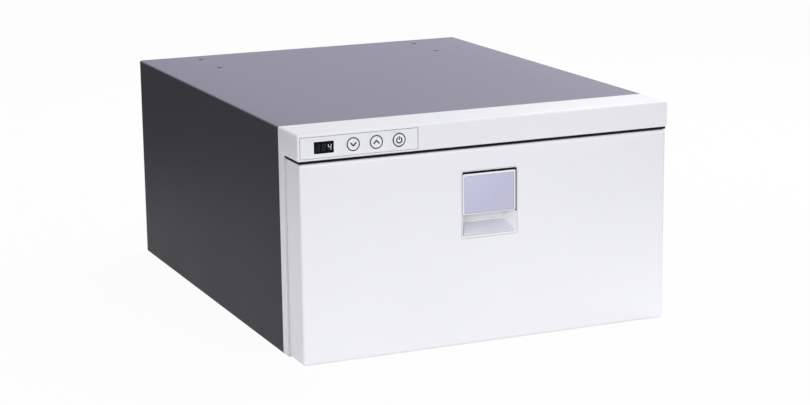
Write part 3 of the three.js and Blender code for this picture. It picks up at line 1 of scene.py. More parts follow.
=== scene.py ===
"""The looks of the undercounter drawer refrigerator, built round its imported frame.

Lengths in this script are millimetres in the frame's own axes: X to the user's right, Y to the back,
Z up. A mesh is scaled to metres as it is made.
"""
import math
from itertools import accumulate

import bmesh
import bpy
import numpy as np
from mathutils import Matrix, Vector


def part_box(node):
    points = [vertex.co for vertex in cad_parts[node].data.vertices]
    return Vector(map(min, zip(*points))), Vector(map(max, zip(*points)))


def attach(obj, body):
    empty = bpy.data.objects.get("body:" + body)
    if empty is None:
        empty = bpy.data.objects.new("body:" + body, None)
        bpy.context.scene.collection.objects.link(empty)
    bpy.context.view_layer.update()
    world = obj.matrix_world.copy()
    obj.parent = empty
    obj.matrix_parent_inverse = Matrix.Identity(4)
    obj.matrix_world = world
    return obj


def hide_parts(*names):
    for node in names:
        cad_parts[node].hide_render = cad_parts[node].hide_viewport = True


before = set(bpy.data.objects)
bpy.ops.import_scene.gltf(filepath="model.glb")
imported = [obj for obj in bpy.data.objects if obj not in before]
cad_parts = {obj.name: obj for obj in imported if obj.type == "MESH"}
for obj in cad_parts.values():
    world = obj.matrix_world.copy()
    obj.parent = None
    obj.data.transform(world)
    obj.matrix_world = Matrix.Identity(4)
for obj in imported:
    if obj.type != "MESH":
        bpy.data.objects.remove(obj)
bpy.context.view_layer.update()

MM = 0.001
WELD = 2e-6
PIXELS_WIDE = 810


def span(node):
    """A node's bounds at rest: x0, x1, y0, y1, z0, z1."""
    low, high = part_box(node)
    return tuple(round(value / MM, 2) for pair in zip(low, high) for value in pair)


def upright(node):
    """A node's bounds as it is seen from the front: x0, x1, z0, z1."""
    x0, x1, _, _, z0, z1 = span(node)
    return (x0, x1, z0, z1)


def inset(bounds, by):
    """A rectangle drawn in by a distance on every side."""
    a0, a1, b0, b1 = bounds
    return (a0 + by, a1 - by, b0 + by, b1 - by)


# ---------------------------------------------------------------- the frame's dimensions
_, HALF, _, BACK, _, HEIGHT = span("cabinet_shell")
FRONT = span("front_bezel")[2]
CABINET_FRONT = span("front_bezel")[3]
BEZEL_FACE = span("latch_keeper")[2]
HEADER_LOW = 221.5
SHEET = 1
SEAT = 0.3
FLANGE_END = 200
OPENING = inset(upright("inner_liner"), 2)
CAVITY_BACK = 118.5
DRAWER = upright("drawer_front_skin")
DRAWER_BACK = span("drawer_front_skin")[3]
PANEL = upright("control_panel_plate")
PANEL_FACE, PANEL_REAR = span("control_panel_plate")[2:4]
WINDOW = upright("display_window")
KEYS = {name: sum(span(f"button_{name}")[:2]) / 2 for name in ("down", "up", "power")}
KEY_HEIGHT = (PANEL[2] + PANEL[3]) / 2
KEY_RADIUS = 6.25
KEY_HOLE = 7.45
KEY_SIDES = 64
LATCH = upright("latch_housing")
FLAP = upright("latch_paddle")
FLAP_FACE = span("latch_paddle")[2]
INSERT = upright("paddle_insert")
INSERT_FACE = span("paddle_insert")[2]
HALF_MOUTH = LATCH[1] - 0.2
PIVOT = (FRONT + 5.3, FLAP[3] - 3)
KEEPER = upright("latch_keeper")
REAR_PANEL = span("rear_panel")[3]
FAN = (-120, 84.5)
GLAND = (10, 32)
HOLE_X = 148
HOLE_ROWS = (181, 253.5)
TOP_HOLES = [(x, y) for x in (-HOLE_X, HOLE_X) for y in HOLE_ROWS]
SIDES = {"left": -1, "right": 1}


# ---------------------------------------------------------------- outlines and surfaces
def unit(rows):
    """Each row of an array brought to length one."""
    return rows / np.linalg.norm(rows, axis=-1, keepdims=True)


def ring(bounds, corners, steps=6):
    """Points round a rectangle with round corners, anticlockwise: four quarter circles, each of its
    own radius, from the low right corner to the low left one."""
    a0, a1, b0, b1 = bounds
    radius = np.broadcast_to(np.asarray(corners, float), (4,))
    a = np.array([a1 - radius[0], a1 - radius[1], a0 + radius[2], a0 + radius[3]])[:, None]
    b = np.array([b0 + radius[0], b1 - radius[1], b1 - radius[2], b0 + radius[3]])[:, None]
    turn = np.radians([[-90], [0], [90], [180]]) + np.linspace(0, np.pi / 2, steps + 1)
    points = np.stack([a + radius[:, None] * np.cos(turn), b + radius[:, None] * np.sin(turn)], -1)
    return points.reshape(-1, 2)


def four(bounds):
    """A rectangle's corners, in the order of a ring's."""
    a0, a1, b0, b1 = bounds
    return np.array([[a1, b0], [a1, b1], [a0, b1], [a0, b0]], float)


def circle(radius, centre, sides=32):
    """Points round a circle, anticlockwise."""
    angle = (np.arange(sides) + 0.5) * 2 * np.pi / sides
    return np.stack([centre[0] + radius * np.cos(angle), centre[1] + radius * np.sin(angle)], -1)


def slot_loop(half_long, half_high, centre, sides):
    """Points round a slot with round ends: a circle of half_high whose two halves are drawn apart."""
    loop = circle(half_high, (0, 0), sides)
    loop[:, 0] += np.sign(loop[:, 0]) * (half_long - half_high)
    return loop + centre


def cell_loop(bounds, loop):
    """For each point of a hole's outline, the corner of the rectangle round it in its own quarter."""
    a0, a1, b0, b1 = bounds
    a = np.where(loop[:, 0] > (a0 + a1) / 2, a1, a0)
    b = np.where(loop[:, 1] > (b0 + b1) / 2, b1, b0)
    return np.stack([a, b], -1)


def arc(centre, radius, start, end, steps):
    """Points on a circle from one angle to another, in degrees."""
    angle = np.radians(np.linspace(start, end, steps + 1))
    return np.stack([centre[0] + radius * np.cos(angle), centre[1] + radius * np.sin(angle)], -1)


def softened(line, radius):
    """A folded line whose corners are rounded: each becomes the curve (1-t)^2 a + 2t(1-t) p + t^2 b,
    between the points a and b that lie a radius before and after the corner p."""
    line = np.asarray(line, float)
    p = line[1:-1, None]
    legs = [line[:-2, None] - p, line[2:, None] - p]
    lengths = [np.linalg.norm(leg, axis=-1, keepdims=True) for leg in legs]
    a, b = [p + leg / length * np.minimum(radius, length * 0.45) for leg, length in zip(legs, lengths)]
    t = np.linspace(0, 1, 6)[None, :, None]
    curve = (1 - t) ** 2 * a + 2 * t * (1 - t) * p + t ** 2 * b
    return np.concatenate([line[:1], curve.reshape(-1, 2), line[-1:]])


def strip(line, sheet):
    """The two sides of a bent sheet: its middle line moved both ways by half the sheet, along the
    mitred normals."""
    line = np.asarray(line, float)
    steps = unit(np.diff(line, axis=0))
    into = np.concatenate([steps[:1], steps])
    out = np.concatenate([steps, steps[-1:]])
    along = unit(into + out)
    normal = np.stack([-along[:, 1], along[:, 0]], -1)
    reach = sheet / 2 / np.sum(along * into, 1, keepdims=True)
    return line + normal * reach, line - normal * reach


def carried(near, far, plane, levels):
    """A sheet carried straight along an axis, as a grid. It has a row for each pair of points of the
    sheet's two sides, which holds the first side's places along the axis, then the second's, back."""
    sides = [on(plane, near, level) for level in levels] + [on(plane, far, level) for level in levels[::-1]]
    return np.stack(sides, 1)


def on(plane, loop, level):
    """A loop of points laid in the plane where x, y or z has a value."""
    return np.insert(np.asarray(loop, float), "xyz".index(plane), level, axis=1)


def behind(loop, y):
    """A loop in the plane Y = y, whose first value is counted to the left as seen from behind."""
    return on("y", loop * [-1, 1], y)


def rolled(bounds, corners, edge, level, body, plane="y", steps=6, rows=5):
    """Rows of a block's rounded edge at one of its faces: the outline is drawn in by
    edge * (1 - cos a) while it lies edge * (1 - sin a) short of the face, for a from 0 at the side to
    a right angle at the face. `body` is the sign of the side on which the block lies."""
    made = []
    for a in np.linspace(0, np.pi / 2, rows + 1):
        by = edge * (1 - math.cos(a))
        radius = np.maximum(np.asarray(corners, float) - by, 0.15)
        short = edge * (1 - math.sin(a))
        made.append(on(plane, ring(inset(bounds, by), radius, steps), level + body * short))
    return made


def stack(plane, loops, start=0, way=1):
    """Loops laid at levels along an axis: each pair's second value is counted from a start."""
    return [on(plane, loop, start + way * level) for loop, level in loops]


def slab(bounds, corners, edge, face, back, steps=6):
    """Rows of a flat part from its back to its front, whose front edge is rounded."""
    return [on("y", ring(bounds, corners, steps), back)] + rolled(bounds, corners, edge, face, 1, steps=steps)


def lip_rows(hole, corner, level, lip):
    """Rows round a hole through its lip: for each pair, the outline grown by the first value, at the
    second one behind a level."""
    return stack("y", [(ring(inset(hole, -grow), corner + grow), back) for grow, back in lip], level)


def turned(profile, centre, sides, axis="y", stretch=1.0):
    """A profile of (radius, place along the axis) pairs carried round an axis, as rows of a grid. The
    first value across the axis may be stretched."""
    loops = [(circle(radius, (0, 0), sides) * [stretch, 1] + centre, level) for radius, level in profile]
    return np.stack(stack(axis, loops))


def smooth_path(points):
    """A centripetal curve through points: each stretch is a cubic whose end slopes come from the
    neighbouring points, weighed by the square roots of their distances."""
    p = np.asarray(points, float)
    p = np.concatenate([[2 * p[0] - p[1]], p, [2 * p[-1] - p[-2]]])
    gap = np.linalg.norm(np.diff(p, axis=0), axis=1)[:, None] ** 0.5
    a, b, c, d = p[:-3], p[1:-2], p[2:-1], p[3:]
    before, here, after = gap[:-2], gap[1:-1], gap[2:]
    leave = ((b - a) / before - (c - a) / (before + here) + (c - b) / here) * here
    arrive = ((c - b) / here - (d - b) / (here + after) + (d - c) / after) * here
    t = np.linspace(0, 1, 8, endpoint=False)[None, :, None]
    b, c, leave, arrive = (v[:, None] for v in (b, c, leave, arrive))
    curve = (2 * t ** 3 - 3 * t ** 2 + 1) * b + (t ** 3 - 2 * t ** 2 + t) * leave
    curve = curve + (3 * t ** 2 - 2 * t ** 3) * c + (t ** 3 - t ** 2) * arrive
    return np.concatenate([curve.reshape(-1, 3), p[-2:-1]])


def tube(path, radius, sides=14):
    """A circle carried along a path. Every ring stands square to the path, and the direction it starts
    from is handed on from ring to ring without twist."""
    along = unit(np.gradient(path, axis=0))
    first = unit(np.cross(along[0], np.roll(np.abs(along[0]), 1) + [0.1, 0.2, 0.3]))

    def squared(side, ahead):
        return unit(side - ahead * (side @ ahead))

    across = np.array(list(accumulate(along, squared, initial=first)))[1:]
    up = np.cross(along, across)
    around = circle(radius, (0, 0), sides)
    return path[:, None] + around[None, :, :1] * across[:, None] + around[None, :, 1:] * up[:, None]


def grid_quads(rows, columns, around, looped):
    """The corner numbers of the quads of a grid of points. A quad joins a point, the next one in its
    row, and the two across from them in the next row; rows may close round, and so may the stack."""
    row = np.arange(rows if looped else rows - 1)[:, None]
    column = np.arange(columns if around else columns - 1)[None, :]
    beside = (column + 1) % columns
    below = (row + 1) % rows
    here, across = row * columns, below * columns
    return np.stack([here + column, here + beside, across + beside, across + column], -1).reshape(-1, 4)


class Skin:
    """Patches of surface that become one mesh."""

    def __init__(self):
        self.points = []
        self.faces = []
        self.count = 0

    def patch(self, points, around=True, looped=False, first=False, last=False, keep=None):
        """Adds a grid of points, rows by columns by 3, with quads between its rows. `around` closes
        each row, `looped` joins the last row to the first, `first` and `last` close an end row with
        one face, and `keep` picks the quads by their centres."""
        points = np.asarray(points, float)
        rows, columns = points.shape[:2]
        flat = points.reshape(-1, 3)
        quads = grid_quads(rows, columns, around, looped)
        if keep is not None:
            quads = quads[keep(flat[quads].mean(1))]
        self.faces += (quads + self.count).tolist()
        edge = np.arange(columns)
        if first:
            self.faces.append((edge[::-1] + self.count).tolist())
        if last:
            self.faces.append((edge + self.count + (rows - 1) * columns).tolist())
        self.points.append(flat)
        self.count += len(flat)
        return self

    def closed(self, points):
        """Adds a grid whose two end rows are closed."""
        return self.patch(points, first=True, last=True)

    def block(self, bounds, edge, corner, plane="z", steps=2, rows=2):
        """Adds a block with round corners and softly rounded ends. Its bounds are across, up and along
        the axis of its plane."""
        outline, (low, high) = bounds[:4], bounds[4:]
        near = rolled(outline, corner, edge, low, 1, plane, steps, rows)
        return self.closed(near[::-1] + rolled(outline, corner, edge, high, -1, plane, steps, rows))

    def piece(self, name, body, slot, finish, replaced=(), sharp=35, second=None):
        """Makes the mesh and lets it ride on a body."""
        mesh = bpy.data.meshes.new(name)
        mesh.from_pydata(np.concatenate(self.points) * MM, [], self.faces)
        return settle(mesh, name, body, finish, replaced, sharp, second)


def settle(mesh, name, body, finish, replaced, sharp=35, second=None):
    """Welds a mesh's points, turns its faces outwards, smooths its gentle edges, and makes it a piece
    that rides on a body. `second` is another finish, and the test of face centres that get it."""
    work = bmesh.new()
    work.from_mesh(mesh)
    bmesh.ops.remove_doubles(work, verts=work.verts, dist=WELD)
    bmesh.ops.recalc_face_normals(work, faces=work.faces)
    work.to_mesh(mesh)
    work.free()
    mesh.shade_smooth()
    mesh.set_sharp_from_angle(angle=math.radians(sharp))
    mesh.materials.append(finish)
    if second:
        mesh.materials.append(second[0])
        middles = np.zeros(len(mesh.polygons) * 3, np.float32)
        mesh.polygons.foreach_get("center", middles)
        chosen = second[1](middles.reshape(-1, 3) / MM)
        mesh.polygons.foreach_set("material_index", chosen.astype(np.int32))
    piece = bpy.data.objects.new(name, mesh)
    bpy.context.scene.collection.objects.link(piece)
    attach(piece, body)
    if replaced:
        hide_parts(*replaced)
    return piece


def refined(node, body, finish, width, segments=2, moved=None):
    """A copy of a CAD node, welded, its flat faces made whole, with its sharp edges rounded. `moved`
    may change its points before that."""
    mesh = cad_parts[node].data.copy()
    mesh.materials.clear()
    if moved:
        points = np.zeros(len(mesh.vertices) * 3, np.float32)
        mesh.vertices.foreach_get("co", points)
        mesh.vertices.foreach_set("co", (moved(points.reshape(-1, 3) / MM) * MM).ravel())
    work = bmesh.new()
    work.from_mesh(mesh)
    bmesh.ops.remove_doubles(work, verts=work.verts, dist=WELD)
    flat = math.radians(1)
    bmesh.ops.dissolve_limit(work, angle_limit=flat, verts=work.verts, edges=work.edges)
    work.to_mesh(mesh)
    work.free()
    piece = settle(mesh, node + "_finished", body, finish, [node])
    bevel = piece.modifiers.new("rounded edges", "BEVEL")
    bevel.width = width * MM
    bevel.segments = segments
    bevel.limit_method = "ANGLE"
    bevel.angle_limit = math.radians(40)
    bevel.harden_normals = True


# ---------------------------------------------------------------- finishes
class Wire:
    """A socket of a finish's nodes. Arithmetic on wires adds Math nodes."""

    def __init__(self, tree, socket):
        self.tree = tree
        self.socket = socket

    def node(self, kind, settings=(), inputs=(), output=0):
        """Adds a node: its settings first, then the values or links of its sockets."""
        made = self.tree.nodes.new(kind)
        for name, value in dict(settings).items():
            setattr(made, name, value)
        for name, value in dict(inputs).items():
            if isinstance(value, Wire):
                self.tree.links.new(value.socket, made.inputs[name])
            else:
                made.inputs[name].default_value = value
        return Wire(self.tree, made.outputs[output])

    def math(self, operation, first, second):
        return self.node("ShaderNodeMath", {"operation": operation}, {0: first, 1: second})

    def __add__(self, other):
        return self.math("ADD", self, other)

    def __sub__(self, other):
        return self.math("SUBTRACT", self, other)

    def __rsub__(self, other):
        return self.math("SUBTRACT", other, self)

    def __mul__(self, other):
        return self.math("MULTIPLY", self, other)

    __radd__ = __add__
    __rmul__ = __mul__

    def along(self, axis):
        """The place's x, y or z."""
        return self.node("ShaderNodeSeparateXYZ", {}, {0: self}, "xyz".index(axis))

    def ramp(self, start, end):
        """0 below one value, 1 above another, and a straight ramp between."""
        return self.node("ShaderNodeMapRange", {}, {0: self, 1: start, 2: end})

    def after(self, start, end):
        """The ramp of a place, between two places in millimetres."""
        return self.ramp(start * MM, end * MM)

    def noise(self, size, detail, roughness=0.5, stretch=None):
        """Cloudy grain whose lumps are about `size` millimetres across."""
        place = self
        if stretch:
            place = self.node("ShaderNodeMapping", {}, {"Vector": self, "Scale": stretch})
        settings = {"Vector": place, "Scale": 1000 / size, "Detail": detail, "Roughness": roughness}
        return self.node("ShaderNodeTexNoise", {}, settings)

    def between(self, first, second):
        """A colour between two, by this value."""
        return self.node("ShaderNodeMix", {"data_type": "RGBA"}, {0: self, 6: first, 7: second}, 2)

    def bump(self, distance):
        """Raises the surface by this height times a distance in millimetres."""
        return self.node("ShaderNodeBump", {}, {"Strength": 1, "Distance": distance * MM, "Height": self})


def weighed(grains, shares):
    """The grains' sum, each times its share."""
    parts = [grain * share for grain, share in zip(grains, shares) if share]
    return sum(parts[1:], parts[0])


def colour(code):
    """A display colour such as 'e8e8ec' as linear light."""
    shade = np.array([int(code[i:i + 2], 16) for i in (0, 2, 4)]) / 255
    linear = np.where(shade <= 0.04045, shade / 12.92, ((shade + 0.055) / 1.055) ** 2.4)
    return (*linear.tolist(), 1)


def start(name):
    """A new finish, its own shader, and the wire that carries places on the object."""
    material = bpy.data.materials.new(name)
    material.use_nodes = True
    tree = material.node_tree
    shader = tree.nodes["Principled BSDF"]
    place = Wire(tree, None).node("ShaderNodeTexCoord", output=3)
    return material, shader, place


def coat(material, shader, fixed, varying):
    """Sets a shader's fixed sockets, and links those that vary over the surface."""
    for name, value in dict(fixed).items():
        shader.inputs[name].default_value = value
    for name, wire in dict(varying).items():
        material.node_tree.links.new(wire.socket, shader.inputs[name])
    return material


def powder_coat():
    """Dark satin powder coat on steel: an orange-peel skin, a fine grain, faint dull patches, and on
    the flat of the top a paler colour, painted sheen that stands in for the light the top reflects."""
    material, shader, place = start("powder_coat")
    peel = place.noise(2.2, 2)
    grain = place.noise(0.35, 2)
    patches = place.noise(90, 3)
    # Painted sheen: the flat of the top is made paler to stand in for the light it reflects.
    top_sheen_mask = place.along("z").after(HEIGHT - 1.6, HEIGHT - 0.1)
    paint = (grain * 0.4 + patches * 0.5).between(colour("2e2c33"), colour("39373e"))
    painted_top_sheen = (grain * 0.3 + patches * 0.6).between(colour("848192"), colour("908da0"))
    varying = {
        "Base Color": top_sheen_mask.between(paint, painted_top_sheen),
        "Roughness": patches * 0.08 + grain * 0.1 + 0.42,
        "Normal": (peel * 0.7 + grain * 0.3).bump(0.04),
    }
    return coat(material, shader, {"IOR": 1.18}, varying)


def latch_shell_with_pocket_shade():
    """The housing's white moulding, whose pocket behind the flap is painted black as the shade in the
    gap round the flap: the colour changes at the flap's lower edge, a little behind the face, and
    short of the outer sides."""
    material, shader, place = start("latch_shell_with_pocket_shade")
    grain = place.noise(0.22, 3, 0.6)
    across, up = place.along("x"), place.along("z")
    within = across.after(-HALF_MOUTH, 0.4 - HALF_MOUTH) * (1 - across.after(HALF_MOUTH - 0.4, HALF_MOUTH))
    height = up.after(FLAP[2] - 1.1, FLAP[2] - 0.7) * (1 - up.after(LATCH[3] - 0.4, LATCH[3] - 0.2))
    # Painted shade: the pocket behind the flap is made black to stand in for the shade deep in the gap round
    # the flap.
    pocket = within * height * place.along("y").after(FRONT + 0.3, FRONT + 0.5)
    varying = {
        "Base Color": pocket.between(grain.between(colour("e6e6ea"), colour("ececf0")), colour("0c0c0f")),
        "Roughness": grain * 0.08 + 0.36,
        "Normal": grain.bump(0.012),
    }
    return coat(material, shader, {"IOR": 1.45}, varying)


def grained(name, tones, grains, shares, rough, depth=0, fixed=()):
    """A finish of one or two grains, each the values of a noise or a function that makes it. Their sum
    by `shares` mixes the two tones. Their sum by the first values of `rough` is added to the last one.
    The first grain raises the skin by a depth in millimetres."""
    material, shader, place = start(name)
    made = [grain(place) if callable(grain) else place.noise(*grain) for grain in grains]
    varying = {
        "Base Color": weighed(made, shares).between(*map(colour, tones)),
        "Roughness": weighed(made, rough[:-1]) + rough[-1],
    }
    if depth:
        varying["Normal"] = made[0].bump(depth)
    return coat(material, shader, fixed, varying)


def moulded(name, tones, size, depth, rough):
    """Moulded plastic: a fine spark-eroded grain, and a slow change of tone across the moulding."""
    grains = [(size, 3, 0.6), (120, 2)]
    return grained(name, tones, grains, (0.3, 0.7), (0.06, 0.06, rough), depth, {"IOR": 1.45})


def brushed(name, tones, rough, metallic=1, across=30, size=6):
    """Metal with fine drawn lines: grain that is drawn together across the lines."""
    grains = [(size, 4, 0.7, (1, across, across)), (40, 3)]
    return grained(name, tones, grains, (0.6, 0.4), (0.16, 0.1, rough), 0.01, {"Metallic": metallic})


def rubbery(name, tones, rough):
    """Dull rubber or vinyl with a fine bloom."""
    grains = [(0.5, 3, 0.65), (25, 3)]
    return grained(name, tones, grains, (0.4, 0.6), (0.08, 0.1, rough), 0.03, {"IOR": 1.2})


def crystal_flakes(place):
    """Flakes a few millimetres across, each of its own brightness."""
    flake = place.node("ShaderNodeTexVoronoi", {"feature": "F1"}, {"Vector": place, "Scale": 300}, 1)
    return place.node("ShaderNodeRGBToBW", {}, {0: flake})


def oxide_clouds(place):
    """Clouds with clear edges."""
    return place.noise(14, 4, 0.65).ramp(0.35, 0.65)


def open_cells(place):
    """Small open cells."""
    return place.node("ShaderNodeTexVoronoi", {"feature": "F1"}, {"Vector": place, "Scale": 900})


def copper_tracks(place):
    """A coarse grid of lines."""
    return place.node("ShaderNodeTexBrick", {}, {"Vector": place, "Scale": 240, "Mortar Size": 0.06}, 1)


def segment_light(name, code, strength):
    """A display segment that glows, its colour drawn towards white here and there by a fine grain."""
    material, shader, place = start(name)
    varying = {"Emission Color": place.noise(1.5, 1).between(colour(code), colour("ffffff"))}
    fixed = {"Base Color": colour("202226"), "Roughness": 0.3, "Emission Strength": strength}
    return coat(material, shader, fixed, varying)


STEEL_PAINT = powder_coat()
WHITE = moulded("white_moulding", ("e6e6eb", "ececf0"), 0.22, 0.012, 0.24)
PANEL_WHITE = moulded("panel_film", ("e3e4e9", "e9eaee"), 0.12, 0.006, 0.45)
LATCH_WHITE_AND_POCKET_SHADE = latch_shell_with_pocket_shade()
LINER = moulded("liner_moulding", ("d9dde1", "e4e7ea"), 1.2, 0.02, 0.3)
BLACK_AND_GAP_SHADE = moulded("black_moulding_and_gap_shade", ("101012", "1b1b1e"), 0.3, 0.02, 0.42)
INK_AND_EDGE_SHADE = moulded("grey_ink_and_edge_shade", ("25252a", "303036"), 0.2, 0.004, 0.5)
SILVER = brushed("silver_insert", ("b8b9d0", "c4c5db"), 0.36, 0.25, 40, 3)
SATIN = brushed("satin_plate", ("d3d3dd", "dfdfe7"), 0.4, 0.05, 30, 2.5)
STEEL = brushed("bright_steel", ("9ea2a8", "c6c9cd"), 0.2)
ALUMINIUM = brushed("rolled_aluminium", ("b3b7bb", "d2d5d8"), 0.3)
GASKET = rubbery("gasket_vinyl", ("bfc2c7", "d2d4d8"), 0.62)
RUBBER_AND_GAP_SHADE = rubbery("black_rubber_and_gap_shade", ("101012", "1c1c20"), 0.75)
# Galvanised sheet, drawn copper with brown oxide, thick black enamel on a drawn pot, cream foam, the
# display's dark window, and green lacquer over copper tracks.
ZINC = grained(
    "zinc_plate", ("989da3", "c0c4c9"), [(5, 2), crystal_flakes], (0.5, 0.5), (0.1, 0.2, 0.3), 0.01,
    {"Metallic": 0.9},
)
COPPER = grained(
    "copper_tube", ("8a5138", "c98a63"), [(0.8, 2), oxide_clouds], (0, 1), (0.15, -0.12, 0.38), 0.01,
    {"Metallic": 1},
)
ENAMEL = grained(
    "black_enamel", ("0f0f11", "1d1d20"), [(1.6, 2), (30, 4, 0.6)], (0, 1), (0, 0.15, 0.18), 0.04
)
FOAM = grained("foam_core", ("cdbf92", "efe6c4"), [open_cells, (30, 3)], (0.5, 0.5), (0.1, 0, 0.85), 0.3)
GLASS = grained("smoked_glass", ("040507", "0a0b0d"), [(3, 3)], [1], (0.05, 0.12), fixed={"IOR": 1.3})
BOARD = grained("board_lacquer", ("1c6a3f", "0f3f27"), [copper_tracks, (8, 2)], (0.5, 0.3), (0, 0.1, 0.3))
LIT = segment_light("lit_segment", "e8f2ff", 0.9)
DIM = segment_light("dim_segment", "4a4448", 0.02)


# ---------------------------------------------------------------- cabinet
def cabinet_wrapper():
    """One folded sheet. Its section, the sheet's outer and inner lines with quarter circles at the four
    folds, is carried from the back to the front; four cells of the top are holed."""
    fold, cell = 2, 8
    bore, wide_bore, soft = 3.5, 4.1, 0.25
    edge, high = HALF - fold, HEIGHT - fold
    folds = [((edge, fold), -90), ((edge, high), 0), ((-edge, high), 90), ((-edge, fold), 180)]
    stops = np.array([HOLE_X + cell, HOLE_X - cell, cell - HOLE_X, -HOLE_X - cell], float)
    lines = []
    for level in (0, SHEET):
        rounds = [arc(centre, fold - level, start, start + 90, 6) for centre, start in folds]
        top = np.stack([stops, np.full(4, HEIGHT - level)], -1)
        ends = [[[way * FLANGE_END, level]] for way in (1, -1)]
        lines.append(np.concatenate([ends[0], *rounds[:2], top, *rounds[2:], ends[1]]))
    places = [BACK, *(y + way * cell for y in HOLE_ROWS[::-1] for way in (1, -1)), CABINET_FRONT + SEAT]

    def outside_cells(middle):
        near = [(abs(middle[:, 0] - x) < cell) & (abs(middle[:, 1] - y) < cell) for x, y in TOP_HOLES]
        return ~(np.any(near, 0) & (middle[:, 2] > HEIGHT - 2 * SHEET))

    skin = Skin().patch(carried(*lines, "y", places), first=True, last=True, keep=outside_cells)
    for x, y in TOP_HOLES:
        hole, wide = circle(bore, (x, y)), circle(wide_bore, (x, y))
        outer = cell_loop((x - cell, x + cell, y - cell, y + cell), hole)
        levels = [(outer, 0), (wide, 0), (hole, soft), (hole, SHEET), (outer, SHEET)]
        skin.patch(stack("z", levels, HEIGHT, -1))
    skin.piece("cabinet_wrapper", "cabinet", "cabinet_steel", STEEL_PAINT, ["cabinet_shell"])


def bezel():
    """The white front moulding: a frame round the drawer opening, whose section is carried round the
    opening, with a seat for the keeper, and the header, a block with a recess for the strip, a
    window behind it, and a hollow for the controls."""
    outer = (-HALF, HALF, SEAT, HEADER_LOW + 1)
    low_corners = (2, 0.2, 0.2, 2)
    rows = slab(outer, low_corners, 0.4, BEZEL_FACE, CABINET_FRONT)
    face = len(rows) - 1
    lip = [(0.8, 0), (0.25, 0.25), (0, 0.8), (0, CABINET_FRONT - BEZEL_FACE)]
    rows += lip_rows(OPENING, 8, BEZEL_FACE, lip)

    def off_seat(middle):
        on_face = (abs(middle[:, 1] - BEZEL_FACE) < 0.01) & (abs(middle[:, 0]) < 1)
        return ~(on_face & (middle[:, 2] > OPENING[3]) & (middle[:, 2] < HEADER_LOW - 2))

    skin = Skin().patch(rows, looped=True, keep=off_seat)
    right_end, left_end = 13, 14
    band = [rows[face + 1][right_end], rows[face][right_end], rows[face][left_end], rows[face + 1][left_end]]
    seat, pocket = four(inset(KEEPER, -SEAT)), four((-9, 9, 205.2, 216.1))
    depths = [(seat, 0), (seat, 1.5), (pocket, 1.5), (pocket, 11.5)]
    skin.patch([band] + stack("y", depths, BEZEL_FACE), last=True)
    rows = slab((-HALF, HALF, HEADER_LOW, HEIGHT), 2, 1.5, FRONT, CABINET_FRONT)
    rows += lip_rows(inset(PANEL, -SEAT), 1, FRONT, [(0.2, 0), (0, 0.2), (0, 1.9)])
    left, right, low, high = PANEL
    window = ring((left + 7, right - 7, low + 2, high - 2), 1)
    space = ring((left, right, low + 0.8, high - 0.4), 1)
    rows += stack("y", [(window, 1.9), (window, 3.5), (space, 3.5)], FRONT)
    skin.patch(rows + [on("y", space, CABINET_FRONT)], looped=True)
    skin.piece("bezel", "cabinet", "white_plastic", WHITE, ["front_bezel"])


def shade_strip_under_header():
    """The black lip, made black as painted shade for the gap under the header: a section with rounded
    lower corners, carried back, across and back again along the header's underside, its corners
    mitred by moving each stretch outwards alike."""
    side, back, half, corner = HALF - 1.7, span("header_lip")[3], 0.8, 0.3
    front, low = FRONT + 1.1, DRAWER[3] + 0.4
    ends = ((corner - half, 180), (half - corner, 270))
    rounds = [arc((x, low + corner), corner, turn, turn + 90, 3) for x, turn in ends]
    section = np.concatenate([[[half, HEADER_LOW]], [[-half, HEADER_LOW]], *rounds])
    rows = []
    for across, ahead in ((-1, False), (-1, True), (1, True), (1, False)):
        y = front + half - section[:, 0] if ahead else np.full(len(section), back)
        rows.append(np.stack([across * (side - half + section[:, 0]), y, section[:, 1]], -1))
    # Painted shade: this black strip stands in for the shade in the gap under the header.
    Skin().closed(rows).piece("shade_strip_under_header", "cabinet", "rubber", RUBBER_AND_GAP_SHADE, ["header_lip"])


# ---------------------------------------------------------------- control strip
def control_strip():
    """The thin cover of the controls, in cells: one has the display's opening, and three a key's. Its
    cut edges are painted dark, as the shade in the narrow gap round the strip."""
    gap = 0.2
    x0, x1, z0, z1 = inset(PANEL, gap)
    middles = sorted(KEYS.values())
    stops = [x0, (WINDOW[1] + middles[0] - KEY_HOLE) / 2, sum(middles[:2]) / 2, sum(middles[1:]) / 2, x1]
    openings = [ring(inset(WINDOW, -gap), 0.6, 3)]
    openings += [circle(KEY_HOLE, (x, KEY_HEIGHT), 48) for x in middles]
    skin = Skin()
    for i, hole in enumerate(openings):
        outer = cell_loop((stops[i], stops[i + 1], z0, z1), hole)
        wide = hole.mean(0) + (hole - hole.mean(0)) * 1.02
        levels = [(outer, PANEL_FACE), (wide, PANEL_FACE), (hole, PANEL_FACE + 0.1)]
        skin.patch(stack("y", levels + [(hole, PANEL_REAR), (outer, PANEL_REAR)]))
    edge = four((x0, x1, z0, z1))
    skin.patch(stack("y", [(edge, PANEL_REAR), (edge, PANEL_FACE)]))
    # Painted shade: the cut edges get dark ink to stand in for the shade in the narrow gap round the strip.
    cut_edge_shade = (INK_AND_EDGE_SHADE, lambda middle: middle[:, 1] > PANEL_FACE + 0.08)
    nodes = ["control_panel_plate"]
    skin.piece("control_strip", "cabinet", "panel_plastic", PANEL_WHITE, nodes, second=cut_edge_shade)


